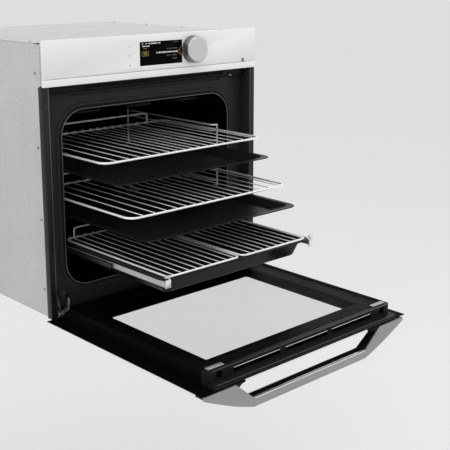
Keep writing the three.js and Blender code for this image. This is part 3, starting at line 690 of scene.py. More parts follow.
def bezier(start: Vector, bend: Vector, stop: Vector, steps: int) -> list[Vector]:
    """Points of a curve that leaves start and reaches stop, aiming at bend."""
    shares = [k / steps for k in range(steps + 1)]
    return [start * (1 - t) ** 2 + bend * 2 * t * (1 - t) + stop * t * t for t in shares]


def fillet(points: list[Point], radius: float, steps: int = 6) -> list[Vector]:
    """Rounds the inner corners of a path.

    Args:
        points: the path's corners.
        radius: bend radius.
        steps: stretches in each bend.

    Returns:
        The smooth path.
    """
    path = [Vector(points[0])]
    for before, corner, after in zip(points, points[1:], points[2:]):
        here = Vector(corner)
        back, ahead = ((Vector(end) - here).normalized() for end in (before, after))
        reach = radius * math.tan((math.pi - back.angle(ahead)) / 2)
        path += bezier(here + back * reach, here, here + ahead * reach, steps)
    return [*path, Vector(points[-1])]


def wire_work(name: str, paths: list[list[Vector]], radius: float, rings: tuple[bool, ...] = ()) -> Thing:
    """Round wire along one or more paths.

    Args:
        name: the object's name.
        paths: the centre lines.
        radius: wire radius.
        rings: for each path, whether it closes on itself.

    Returns:
        The wires as one plain mesh.
    """
    curve = bpy.data.curves.new(name, "CURVE")
    curve.dimensions = "3D"
    curve.bevel_depth = radius
    curve.bevel_resolution = WIRE_FACES
    curve.use_fill_caps = True
    for number, path in enumerate(paths):
        spline = curve.splines.new("POLY")
        spline.points.add(len(path) - 1)
        for point, place in zip(spline.points, path):
            point.co = (*place, 1.0)
        spline.use_cyclic_u = bool(rings) and rings[number]
    return face_outwards(baked(linked(f"{name}_line", curve), name))


def hoop(radius: float, height: float, centre: Point, axis: str, sides: int) -> list[Vector]:
    """A ring of points about an axis through a centre."""
    angles = [2 * math.pi * i / sides for i in range(sides)]
    return [along(axis, radius * math.cos(a), radius * math.sin(a), height) + Vector(centre) for a in angles]


def turned(name: str, profile: list[Pair], centre: Point, axis: str = "Y", sides: int = 72,
           hollow: bool = False) -> Thing:
    """A turned part: a profile of (radius, height) points spun about an axis.

    Args:
        name: the object's name.
        profile: points from axis to axis, or a closed loop for a hollow part.
        centre: a point on the axis; heights are added along it.
        axis: the axis letter.
        sides: faces round the part.
        hollow: whether the part is open along its axis.

    Returns:
        The object, faces outwards.
    """
    rings = [hoop(radius, height, centre, axis, sides) for radius, height in profile]
    return face_outwards(skinned(name, rings, closed=hollow))


def carved(target: Thing, cutters: list[Thing]) -> Thing:
    """Cuts solids out of a piece.

    Args:
        target: the piece.
        cutters: the solids, removed afterwards.

    Returns:
        The carved piece.
    """
    tool = joined(f"{target.name}_cutters", cutters)
    cut = target.modifiers.new("openings", "BOOLEAN")
    cut.operation, cut.solver, cut.use_self, cut.object = "DIFFERENCE", "EXACT", True, tool
    made = baked(target, target.name)
    bpy.data.objects.remove(tool)
    return made


def run_tree(name: str, tree: bpy.types.NodeTree, values: dict) -> Thing:
    """Runs a tree once and keeps its result as a plain mesh.

    Args:
        name: the new object's name.
        tree: the geometry node tree.
        values: input name to value.

    Returns:
        The plain object.
    """
    carrier = new_object(f"{name}_tree", [], [])
    modifier = carrier.modifiers.new("rule", "NODES")
    modifier.node_group = tree
    for item in tree.interface.items_tree:
        if item.in_out == "INPUT":
            modifier[item.identifier] = values[item.name]
    return face_outwards(baked(carrier, name))


def row_of(name: str, piece: Thing, count: int, first: Point, step: Point, finish: Finish,
           body: str = "oven") -> None:
    """Settles a straight row of copies of a piece.

    Args:
        name: the row's name.
        piece: the copied piece, removed afterwards.
        count: how many copies.
        first: the first copy's place.
        step: from one copy to the next.
        finish: the copies' finish.
        body: the body that they ride on.
    """
    row = run_tree(name, row_tree(), {"Piece": piece, "Count": count, "First place": first, "Step": step})
    bpy.data.objects.remove(piece)
    settle(row, body, finish)


@dataclass
class ScrewRow:
    """Pan-head screws with a cross recess in a straight row.

    Attributes:
        name: the piece's name.
        first: centre of the first head's seat.
        step: from one screw to the next.
        count: how many.
        facing: direction the heads point.
        radius: head radius.
        finish: the screws' finish.
        sides: faces round a head.
        domed: the head's rise as a share of its radius.
        profile: share of the radius and of the rise at each ring of the head.
        recess: share of the radius in the arms and between them.
        arm: half the angle that an arm takes up.
        floor: height of the recess's floor as a share of the rise.
    """

    name: str
    first: Point
    step: Point
    count: int
    facing: Point
    radius: float = 0.0034
    finish: Finish = STEEL
    sides: int = 24
    domed: float = 0.55
    profile: tuple[Pair, ...] = ((1.0, -0.2), (1.0, 0.45), (0.86, 0.85), (0.6, 1.0))
    recess: Pair = (0.52, 0.17)
    arm: float = 0.2
    floor: float = 0.55

    def build(self) -> None:
        """Makes the row and settles it."""
        rise = self.radius * self.domed
        rings = [hoop(self.radius * share, rise * height, (0, 0, 0), "Z", self.sides)
                 for share, height in self.profile]
        for height in (rise, rise * self.floor):
            ring = []
            for i in range(self.sides):
                angle = 2 * math.pi * i / self.sides
                in_arm = min(angle % QUARTER, QUARTER - angle % QUARTER) < self.arm
                reach = self.radius * self.recess[0 if in_arm else 1]
                ring.append(Vector((reach * math.cos(angle), reach * math.sin(angle), height)))
            rings.append(ring)
        head = skinned(f"{self.name}_head", rings)
        head.data.transform(Vector((0, 0, 1)).rotation_difference(Vector(self.facing)).to_matrix().to_4x4())
        row_of(self.name, head, self.count, self.first, self.step, self.finish)


# ---------------------------------------------------------------- places read from the frame


@dataclass(frozen=True)
class Room:
    """The box of a frame node."""

    low: Vector
    high: Vector

    @staticmethod
    def of(node: str) -> "Room":
        """Reads a node's box."""
        return Room(*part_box(node))

    def span(self, axis: str, grow: float = 0.0) -> Pair:
        """Low and high value along an axis, grown at both ends."""
        i = "XYZ".index(axis)
        return (self.low[i] - grow, self.high[i] + grow)

    def middle(self, axis: str) -> float:
        """The middle along an axis."""
        i = "XYZ".index(axis)
        return (self.low[i] + self.high[i]) / 2


@dataclass(frozen=True)
class Mouth:
    """The rounded outline of the cavity, which the frame, bead, lip and seal all follow.

    Attributes:
        half: half the width.
        low: height of the floor.
        high: height of the ceiling.
        front: Y of the liner's front edge.
        back: Y of the liner's back face.
        corner: corner radius.
        wall: thickness of the liner.
    """

    half: float
    low: float
    high: float
    front: float
    back: float
    corner: float = 0.055
    wall: float = 0.0016

    @staticmethod
    def read() -> "Mouth":
        """Reads the outline from the liner's node."""
        low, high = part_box("cavity_liner")
        return Mouth(high.x - Mouth.wall, low.z + Mouth.wall, high.z - Mouth.wall, low.y, high.y)

    def loop(self, grow: float, y: float) -> list[Vector]:
        """The outline grown by an offset.

        Args:
            grow: the offset.
            y: the loop's depth.

        Returns:
            The loop's points.
        """
        points = rounded_loop((-self.half - grow, self.half + grow), (self.low - grow, self.high + grow),
                              self.corner + grow, 14)
        return [Vector((u, y, v)) for u, v in points]

    def sweep(self, name: str, profile: list[Pair], finish: Finish, replaced: tuple[str, ...] = ()) -> None:
        """Settles a closed profile swept round the outline.

        Args:
            name: the piece's name.
            profile: offsets from the outline and depths behind the liner's front edge.
            finish: the piece's finish.
            replaced: frame nodes that it stands for.
        """
        rings = [self.loop(grow, self.front + depth) for grow, depth in profile]
        settle(skinned(name, rings, closed=True), "oven", finish, replaced)


def dress(node: str, finish: Finish) -> None:
    """Gives a frame node that stays in view its finish.

    Args:
        node: the node.
        finish: its finish.
    """
    shown = frame["nodes"][node]
    for place in shown.material_slots:
        place.material = finish.material()
    log.info("%s: kept from the frame", node)


# ---------------------------------------------------------------- sub-assemblies


@dataclass
class Casing:
    """The zinc-plated case: base, sides, back, top, wool jacket and mains terminal.

    Attributes:
        edge: radius of the sheet's edges.
        bead: length, width and height of a side's stiffening bead.
        beads: stiffening beads on each side.
        back_hood: length, width and height of a louvre hood on the back.
        top_hood: length, width and height of a louvre hood on the top.
        press: inset as a share of the width, and share of the height, at each ring of a pressed bead.
        margin: from a side's front edge to its first bead.
        inset: from a sheet's edge to its screws.
    """

    edge: float = 0.0004
    bead: Point = (0.36, 0.016, 0.0018)
    beads: int = 5
    back_hood: Point = (0.108, 0.0072, 0.004)
    top_hood: Point = (0.25, 0.006, 0.0025)
    press: tuple[Pair, ...] = ((0.05, 0.35), (0.2, 0.8), (0.34, 1.0))
    margin: float = 0.075
    inset: float = 0.012

    def build(self) -> None:
        """Builds the whole case."""
        for node in ("base_plate", "side_panel_left", "side_panel_right", "rear_panel", "top_cover"):
            softened(node, self.edge, ZINC)
        dress("insulation", WOOL)
        softened("terminal_block", 0.0008, BLACK_PLASTIC)
        for side in Side:
            self._side_beads(side)
        back, top = Room.of("rear_panel"), Room.of("top_cover")
        row_of("back_louvre_hoods", self._pressed(self.back_hood, "ZX", (QUARTER, -QUARTER)), 5,
               (-0.17, back.high.y, 0.51), (0.0, 0.0, 0.014), ZINC)
        row_of("top_louvre_hoods", self._pressed(self.top_hood, "Z", (QUARTER,)), 6,
               (0.0, 0.1265, top.high.z), (0.0, 0.018, 0.0), ZINC)
        self._screws(back, top)

    def _pressed(self, size: Point, axes: str, turns: tuple[float, ...]) -> Thing:
        """One pressed bead, made along Y with its rise along Z, and then turned.

        Args:
            size: length, width and height.
            axes: axes of the turns.
            turns: angles of the turns.

        Returns:
            The bead.
        """
        length, width, rise = size
        rings = []
        for inset, level in ((0, -self.edge / 2), *((inset, share * rise) for inset, share in self.press)):
            half, end = (width / 2 - inset * width, length / 2 - inset * width)
            loop = rounded_loop((-half, half), (-end, end), half - 10 * MERGE, 5)
            rings.append([Vector((u, v, level)) for u, v in loop])
        made = skinned("pressed_bead", rings)
        for axis, turn in zip(axes, turns):
            made.data.transform(Matrix.Rotation(turn, 4, axis))
        return made

    def _side_beads(self, side: Side) -> None:
        """Upright stiffening beads on one side.

        Args:
            side: which side.
        """
        panel = Room.of(f"side_panel_{side.word}")
        outer = panel.high.x if side is Side.RIGHT else panel.low.x
        pitch = (panel.high.y - panel.low.y - 2 * self.margin) / (self.beads - 1)
        row_of(f"side_beads_{side.word}", self._pressed(self.bead, "XZ", (QUARTER, side.value * QUARTER)),
               self.beads, (outer, panel.low.y + self.margin, panel.middle("Z")), (0.0, pitch, 0.0), ZINC)

    def _screws(self, back: Room, top: Room) -> None:
        """Sheet-metal screws round the back, the top and the sides, and the terminal's clamp screws.

        Args:
            back: box of the back.
            top: box of the top.
        """
        for word, z in (("low", back.low.z + self.inset), ("high", back.high.z - self.inset)):
            ScrewRow(f"back_screws_{word}", (-0.26, back.high.y, z), (0.13, 0, 0), 5, (0, 1, 0)).build()
        for side in Side:
            first = (side.value * (top.high.x - self.inset), top.low.y + 0.03, top.high.z)
            ScrewRow(f"top_screws_{side.word}", first, (0, 0.145, 0), 4, (0, 0, 1)).build()
            panel = Room.of(f"side_panel_{side.word}")
            outer = panel.high.x if side is Side.RIGHT else panel.low.x
            ScrewRow(f"side_screws_{side.word}", (outer, panel.low.y + 0.02, 0.06), (0, 0, 0.155), 4,
                     (side.value, 0, 0)).build()
        terminal = Room.of("terminal_block")
        ScrewRow("terminal_screws", (terminal.low.x + 0.011, terminal.high.y, terminal.high.z - 0.008),
                 (0.012, 0, 0), 3, (0, 1, 0), 0.0026).build()


@dataclass
class ControlFascia:
    """White glass panel with its screen, touch symbols, knob and stud.

    Attributes:
        edge: radius of the panel's edges.
        proud: thickness of the ink on the screen.
        gap: from the ink to the glass.
        lines: left end, right end, height on the panel, letter height and ink of each line.
        dish: ends of the dish's frame across and up, and the width of its line.
        arrow: X and height of the arrow's outer tip.
        symbols: X of the touch symbols, their radius, and the height of each.
        sides: faces round the knob.
    """

    edge: float = 0.0008
    proud: float = 0.00012
    gap: float = 0.00001
    lines: tuple[tuple[float, float, float, float, Ink], ...] = (
        (-0.0462, 0.0044, 0.5750, 0.0034, Ink.BRIGHT),
        (-0.0448, -0.0256, 0.5695, 0.0026, Ink.BRIGHT),
        (-0.0430, -0.0330, 0.5645, 0.0024, Ink.DIM),
        (0.0224, 0.0524, 0.5613, 0.0026, Ink.DIM),
        (-0.0064, 0.0536, 0.5540, 0.0038, Ink.BRIGHT),
        (0.0224, 0.0524, 0.5466, 0.0026, Ink.DIM),
        (0.0400, 0.0524, 0.5394, 0.0024, Ink.DIM),
        (0.0420, 0.0540, 0.5754, 0.0024, Ink.DIM),
    )
    dish: tuple[Pair, Pair, float] = ((-0.0462, -0.0280), (0.5483, 0.5586), 0.0009)
    arrow: Pair = (0.0524, 0.5535)
    symbols: tuple[float, float, Point] = (-0.080, 0.0021, (0.571, 0.552, 0.531))
    sides: int = 96

    def build(self) -> None:
        """Builds the panel and everything on it."""
        for node, width, finish, segments in (
            ("panel_strip", self.edge, WHITE, 3), ("control_panel", self.edge, WHITE, 3),
            ("display_module", 0.0003, SCREEN_GLASS, 2), ("panel_housing", 0.0005, ZINC, 2),
            ("control_board", 0.0003, BOARD, 2),
        ):
            softened(node, width, finish, segments)
        housing = Room.of("panel_housing")
        lid = block("housing_lid", housing.span("X", -0.001), housing.span("Y", -0.0005),
                    (housing.high.z - 0.0002, housing.high.z + 0.0006), 0.0002)
        settle(lid, "oven", ZINC)
        self._screen()
        self._symbols()
        self._knob()
        self._stud()

    def _ink(self, outline: list[Pair], node: str = "display_module") -> Thing:
        """A thin flat mark on the front of a node."""
        front = Room.of(node).low.y
        return slab("mark", outline, "Y", (front - self.proud, front - self.gap))

    def _screen(self) -> None:
        """Lines of unreadable type, a picture of a dish, and the nested arrow."""
        dice = random.Random(7)
        by_ink: dict[Ink, list[Thing]] = {ink: [] for ink in Ink}
        for left, right, height, letter, ink in self.lines:
            x = left
            while x < right:
                width = letter * dice.uniform(0.22, 0.42)
                if dice.random() > 0.12:
                    tall = letter * dice.choice((0.62, 0.8, 0.8))
                    z = (height - tall / 2, height + tall / 2)
                    by_ink[ink].append(self._ink(box_outline((x, min(x + width, right)), z)))
                x += width + letter * 0.26
        by_ink[Ink.OLIVE] += self._dish()
        by_ink[Ink.AMBER] += self._arrow()
        for ink, parts in by_ink.items():
            settle(joined(f"screen_{ink.name.lower()}", parts), "oven", ink.value)

    def _dish(self) -> list[Thing]:
        """A framed dish with three bars.

        Returns:
            The picture's parts.
        """
        x, z, line = self.dish
        marks = [(x, (z[1] - line, z[1])), (x, (z[0], z[0] + line)), ((x[0], x[0] + line), z),
                 ((x[1] - line, x[1]), z)]
        for k in range(3):
            low = z[0] + 0.0024 + 0.0022 * k
            marks.append(((x[0] + 0.004, x[1] - 0.004), (low, low + 0.0013)))
        return [self._ink(box_outline(*mark)) for mark in marks]

    def _arrow(self) -> list[Thing]:
        """Two nested strokes pointing left.

        Returns:
            The strokes' parts.
        """
        parts, wide, z = [], 0.0006, self.arrow[1]
        for k in range(2):
            tip, tall, reach = self.arrow[0] + 0.0056 * k, 0.0105 - 0.0042 * k, 0.0110 - 0.0042 * k
            for end in (tall, -tall):
                parts.append(self._ink([(tip, z), (tip + wide * 1.3, z), (tip + reach + wide, z + end),
                                        (tip + reach, z + end)]))
        return parts

    def _symbols(self) -> None:
        """Faint touch symbols beside the screen."""
        x, radius, heights = self.symbols
        ring = [(radius * math.cos(a * math.pi / 8), radius * math.sin(a * math.pi / 8)) for a in range(16)]
        parts = [self._ink([(x + u, z + v) for u, v in ring], "control_panel") for z in heights]
        settle(joined("touch_symbols", parts), "oven", ICON_GREY)

    def _knob(self) -> None:
        """The turning knob and the collar behind it."""
        knob, collar = Room.of("knob"), Room.of("knob_collar")
        centre, face = (knob.middle("X"), 0, knob.middle("Z")), knob.low.y
        r, outer = (knob.high.x - knob.low.x) / 2, (collar.high.x - collar.low.x) / 2
        seat, back = face + 0.0031, collar.low.y - 0.0004
        y0, y1 = collar.low.y, collar.high.y
        front = [(0.0, face + 0.0003), (0.008, face + 0.00028), (r - 0.006, face + 0.00005),
                 (r - 0.0030, face), (r - 0.0026, face + 0.0001), (r - 0.0008, face + 0.0016),
                 (r - 0.0002, face + 0.0022), (r, face + 0.0030), (r - 0.0012, seat), (0.003, seat),
                 (0.003, knob.high.y), (0.0, knob.high.y)]
        settle(turned("knob_turned", front, centre, "Y", self.sides), "knob", SPUN, ("knob",))
        grip = [(r - 0.0014, seat + 0.0001), (r - 0.0002, seat + 0.0001), (r, seat + 0.0006),
                (r, back - 0.0022), (r - 0.0006, back - 0.0018), (r - 0.0006, back), (0.004, back),
                (0.004, seat + 0.0001)]
        settle(turned("knob_grip", grip, centre, "Y", self.sides, True), "knob", GRIP_SATIN)
        profile = [(outer - 0.0016, y0), (outer - 0.0004, y0 + 0.0004), (outer, y0 + 0.0012), (outer, y1),
                   (r - 0.006, y1), (r - 0.006, y0)]
        ring = turned("knob_collar_turned", profile, centre, "Y", self.sides, True)
        settle(ring, "oven", COLLAR, ("knob_collar",))

    def _stud(self) -> None:
        """A plain round stud near the right end."""
        front = Room.of("control_panel").low.y
        profile = [(0.0, -0.0007), (0.0040, -0.0007), (0.0047, -0.0003), (0.0047, 0.0002), (0.0, 0.0002)]
        stud = turned("panel_stud", [(r, front + h) for r, h in profile], (0.2555, 0, 0.5215), "Y", 40)
        settle(stud, "oven", COLLAR)


@dataclass
class FrontFrame:
    """Enamelled front frame with its rounded bead, a painted highlight ring along the lip, seal, side trims
    with painted highlight strips along their inner edges, and screws.

    Attributes:
        plate: thickness of the frame's sheet and its side walls.
        band: height of the vented band above the mouth, and its distance behind the frame's front.
        bead: inner and outer offset of the raised bead from the cavity's outline.
        bead_rise: how far the bead stands forward of the plate.
        lip: width of the bright edge round the cavity.
        mouth: the cavity's outline.
    """

    plate: float = 0.002
    band: Pair = (0.4835, 0.015)
    bead: Pair = (0.0055, 0.0145)
    # lip: width of the painted highlight ring along the cavity's edge.
    bead_rise: float = 0.0026
    lip: float = 0.0018
    mouth: Mouth = field(default_factory=Mouth.read)

    def build(self) -> None:
        """Builds the frame and what is fixed to it."""
        room = Room.of("front_frame")
        face, half = room.high.y - self.plate, room.high.x - self.plate + 0.0005
        self._band(room, half)
        self._sheet(room, face, half)
        for word, z in (("low", 0.09), ("high", 0.452)):
            ScrewRow(f"frame_screws_{word}", (-0.2725, face, z), (0.545, 0, 0), 2, (0, -1, 0),
                     finish=FRAME_ENAMEL).build()
        behind = (room.high.y + 0.001, room.high.y + 0.0015)
        for name, x, z in (("slot_baffle", (-0.214, 0.214), (0.466, 0.4825)),
                           ("upper_slot_baffle", (-0.200, 0.228), (0.4853, 0.5005))):
            settle(block(name, x, behind, z), "oven", FRAME_ENAMEL)
        self._rings()
        for side in Side:
            self._trim(side)

    def _band(self, room: Room, half: float) -> None:
        """The vented band above the mouth and its ceiling, both open for the lock.

        Args:
            room: box of the frame.
            half: half the sheet's width.
        """
        z, y = self.band[0], room.low.y + self.band[1]
        openings = [block("opening", (-0.190, 0.230), (y - 0.001, y + 0.003), (0.4895, 0.4985))]
        shells = [block("band", (-half, half), (y, y + 0.0015), (z, room.high.z), 0.0003),
                  block("ceiling", (-half, half), (y, room.high.y), (z, z + 0.0015), 0.0003)]
        for k, shell in enumerate(shells):
            lock = block("lock_slot", (0.2295, 0.2425), (y - 0.001, y + 0.014), (0.4825, 0.486))
            shells[k] = carved(shell, [*openings, lock])
            openings = []
        settle(joined("vent_band", shells), "oven", TRAY_ENAMEL)

    def _sheet(self, room: Room, face: float, half: float) -> None:
        """The flat sheet with its slots and its side walls.

        Args:
            room: box of the frame.
            face: Y of the sheet's front.
            half: half the sheet's width.
        """
        outline = rounded_loop((-half, half), (room.low.z, self.band[0] + 0.001), 0.0006, 14)
        rings = [[Vector((u, y, v)) for u, v in outline] for y in (face, room.high.y)]
        rings += [self.mouth.loop(self.bead[0], y) for y in (room.high.y, face)]
        depth = (face - 0.001, room.high.y + 0.001)
        slots = [block("slot", x, depth, z) for x, z in ((Side.LEFT.span(0.2652, 0.2758), (0.0035, 0.07)),
                                                         (Side.RIGHT.span(0.2652, 0.2758), (0.0035, 0.07)),
                                                         ((-0.212, 0.212), (0.4745, 0.4815)))]
        parts = [carved(skinned("sheet", rings, closed=True), slots)]
        parts += [block("wall", side.span(half - 0.0005, room.high.x), room.span("Y"),
                        (0.008, room.high.z), 0.0005) for side in Side]
        settle(joined("front_frame_sheet", parts), "oven", FRAME_ENAMEL, ("front_frame",))

    def _rings(self) -> None:
        """The raised bead, a painted highlight ring along the lip, and the hollow rubber seal round the
        mouth.
        """
        (inner, outer), rise, w = self.bead, self.bead_rise, self.lip
        middle, half = (inner + outer) / 2, (outer - inner) / 2
        arc = [(middle - half * math.cos(math.pi * k / 10), rise * (1 - math.sin(math.pi * k / 10)))
               for k in range(11)]
        self.mouth.sweep("mouth_bead", [*arc, (outer, rise + 0.0004), (inner, rise + 0.0004)], FRAME_ENAMEL)
        # painted highlight: a light ring that stands for the lip catching the light
        self.mouth.sweep("mouth_lip", [(0.0, 0.0006), (0.0, 0.0), (0.0003, -0.0003), (w - 0.0003, -0.0003),
                                       (w, 0.0), (w, 0.0006)], PAINTED_EDGE_HIGHLIGHT)
        room = Room.of("door_seal")
        depth, start = room.high.y - room.low.y, room.low.y - self.mouth.front
        folds = ((0.0022, 1), (0.0020, 0.6), (0.0024, 0.2), (0.0034, 0), (0.0044, 0.12), (0.0041, 0.45),
                 (0.0052, 0.7), (0.0050, 1))
        profile = [(grow, start + share * depth) for grow, share in folds]
        self.mouth.sweep("door_seal_moulded", profile, RUBBER, ("door_seal",))

    def _trim(self, side: Side) -> None:
        """A drawn side trim with a painted highlight strip along its inner edge, and its fixing screws.

        Args:
            side: which side.
        """
        softened(f"side_trim_{side.word}", 0.0005, TRIM, 3)
        room = Room.of(f"side_trim_{side.word}")
        near = min(abs(room.low.x), abs(room.high.x))
        # painted highlight: a light strip that stands for light along the trim's inner edge
        edge = block(f"trim_edge_{side.word}", side.span(near + 0.0002, near + 0.0013),
                     (room.low.y - 0.0002, room.low.y + 0.0008), room.span("Z", -0.002), 0.0001)
        settle(edge, "oven", PAINTED_EDGE_HIGHLIGHT)
        ScrewRow(f"trim_screws_{side.word}", (side.value * 0.2905, room.low.y + 0.0015, 0.038),
                 (0, 0, 0.424), 2, (0, -1, 0), 0.0032, DARK_STEEL_AND_PAINTED_RAIL_SHADE).build()


@dataclass
class Cavity:
    """Enamelled liner with shelf ladders, heating elements, fan cover and lamp.

    Attributes:
        back_radius: radius where the back wall meets the sides.
        wire: radius of the ladder wire.
        under: how far a ladder rung lies below the shelf that it carries.
        bend: radius of the ladder's bends.
        tubes: radius of the grill, bottom and ring element.
        legs: straight runs of the grill element.
        mouth: the cavity's outline.
    """

    back_radius: float = 0.012
    wire: float = 0.0022
    under: float = 0.0028
    bend: float = 0.008
    tubes: Point = (0.0035, 0.003, 0.0036)
    legs: int = 6
    mouth: Mouth = field(default_factory=Mouth.read)

    def build(self) -> None:
        """Builds the liner and everything in it."""
        self._liner()
        for side in Side:
            self._ladder(side)
        self._grill()
        self._bottom()
        self._ring()
        softened("fan_cover", 0.0005, CAVITY_ENAMEL)
        ScrewRow("fan_cover_screws", (-0.192, Room.of("fan_cover").low.y, 0.246), (0.384, 0, 0), 2,
                 (0, -1, 0), 0.004).build()
        self._lamp()

    def _liner(self) -> None:
        """One enamelled shell, open at the front, with a rounded back edge."""
        mouth, r = self.mouth, self.back_radius
        turns = [(1 - math.sin(QUARTER * k / 4), 1 - math.cos(QUARTER * k / 4)) for k in range(5)]
        levels = [(-r * across, mouth.back - mouth.wall - r * deep) for across, deep in turns]
        levels += [(0, mouth.front), (mouth.wall, mouth.front), (mouth.wall, mouth.back - r),
                   (mouth.wall - r * 0.3, mouth.back - r * 0.3), (mouth.wall - r, mouth.back)]
        shell = skinned("cavity_shell", [mouth.loop(grow, y) for grow, y in levels])
        settle(shell, "oven", CAVITY_ENAMEL, ("cavity_liner",), 50)

    def _rungs(self) -> list[float]:
        """Heights of the ladder's rungs, two for each shelf.

        Returns:
            The heights.
        """
        racks = [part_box(node)[0].z for node in ("wire_rack_upper", "wire_rack_lower")]
        trays = [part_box(node)[1].z for node in ("tray_dimpled", "tray_flat")]
        low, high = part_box("rail_middle_left")
        heights = [z for low_z in racks for z in (low_z - self.under, low_z + 0.0117)]
        heights += [z for high_z in trays for z in (high_z - 0.0015 - self.under, high_z + 0.009)]
        return heights + [low.z - 0.005, high.z + 0.005]

    def _ladder(self, side: Side) -> None:
        """Two posts and their rungs, bent in one piece with the wall fixings.

        Args:
            side: which side.
        """
        room, sign = Room.of(f"ladder_{side.word}"), side.value
        post = max(abs(room.low.x), abs(room.high.x)) - self.wire
        rail = post - 0.0115
        front, back = room.span("Y", -self.wire)
        paths = [[Vector((sign * post, y, z)) for z in room.span("Z")] for y in (front, back)]
        paths += [fillet([(sign * post, front, z), (sign * rail, front + 0.01, z),
                          (sign * rail, back - 0.01, z), (sign * post, back, z)], self.bend)
                  for z in self._rungs()]
        wires = wire_work(f"ladder_wires_{side.word}", paths, self.wire)
        settle(wires, "oven", CHROME, (f"ladder_{side.word}",))

    def _grill(self) -> None:
        """The grill element, one tube in six straight runs."""
        grill, tube = Room.of("grill_element"), self.tubes[0]
        pitch = (grill.high.x - grill.low.x - 2 * tube) / (self.legs - 1)
        near, way_out, z = grill.low.y + tube, grill.high.y, grill.middle("Z")
        points: list[Point] = []
        for i in range(self.legs):
            x = grill.low.x + tube + pitch * i
            start, end = (near, near + 0.33) if i % 2 else (near + 0.33, near)
            points += [(x, start if i else way_out, z), (x, way_out if i == self.legs - 1 else end, z)]
        settle(wire_work("grill_tube", [fillet(points, 0.02)], tube), "oven", ELEMENT, ("grill_element",))

    def _bottom(self) -> None:
        """The loop under the cavity's floor."""
        low, tube = Room.of("bottom_element"), self.tubes[1]
        x, y0, y1, z = low.high.x - tube, low.low.y + tube, low.high.y, low.middle("Z")
        half = [(0.06, y1, z), (0.06, y1 - 0.09, z), (x, y1 - 0.11, z), (x, y0, z)]
        loop = [(-u, v, w) for u, v, w in half] + half[::-1]
        settle(wire_work("bottom_tube", [fillet(loop, 0.025)], tube), "oven", ELEMENT, ("bottom_element",))

    def _ring(self) -> None:
        """The ring round the hot-air fan, with its two tails."""
        ring, tube = Room.of("ring_element"), self.tubes[2]
        radius, y, z = (ring.high.x - ring.low.x) / 2 - tube, ring.low.y + tube, ring.middle("Z")
        top = z + radius - 0.0008
        tails = [[Vector((x, y, top)), Vector((x, ring.high.y, top))] for x in (-0.012, 0.012)]
        circle = hoop(radius, y, (0, 0, z), "Y", 72)
        settle(wire_work("ring_tube", [circle, *tails], tube, (True, False, False)), "oven", ELEMENT,
               ("ring_element",))

    def _lamp(self) -> None:
        """A frosted lamp cover with a ribbed grip ring."""
        lamp = Room.of("oven_lamp")
        low, top = lamp.low.z, lamp.high.z
        profile = [(0.0, low), (0.013, low + 0.0003), (0.018, low + 0.0018), (0.019, low + 0.004),
                   (0.0225, low + 0.0042), (0.026, low + 0.0052), (0.026, top), (0.0, top)]
        cover = turned("lamp_cover", profile, (lamp.middle("X"), lamp.middle("Y"), 0), "Z", 48)
        settle(cover, "oven", FROSTED, ("oven_lamp",))


@dataclass
class Works:
    """The fans, the door's hinges with their catch levers, and the door's lock.

    Attributes:
        sheet: edge radius of the thin parts.
        bar: edge radius of the hinges and the hook.
        fins: cooling fins on the fan's motor, and from one to the next.
    """

    sheet: float = 0.0004
    bar: float = 0.0006
    fins: tuple[int, float] = (6, 0.006)

    def build(self) -> None:
        """Builds the fans, the hinges and the lock."""
        for node, width, finish in (("fan_blade", self.sheet, ZINC), ("fan_motor", 0.0008, STEEL),
                                    ("blower_housing", self.sheet, ZINC), ("blower_rotor", 0.0002, ZINC)):
            softened(node, width, finish)
        motor = Room.of("fan_motor")
        fins = []
        for k in range(self.fins[0]):
            at = motor.high.y - 0.008 - self.fins[1] * k
            profile = [(0.03, at), (0.0375, at), (0.0375, at + 0.0015), (0.03, at + 0.0015)]
            fins.append(turned("fin", profile, (motor.middle("X"), 0, motor.middle("Z")), "Y", 48))
        settle(joined("motor_fins", fins), "oven", STEEL)
        for side in Side:
            softened(f"hinge_arm_{side.word}", self.bar, STEEL, 3)
            softened(f"hinge_lever_{side.word}", self.bar, LEVER_STEEL, 3)
        softened("lock_hook", self.bar, STEEL)
        softened("lock_motor", 0.001, BLACK_PLASTIC)


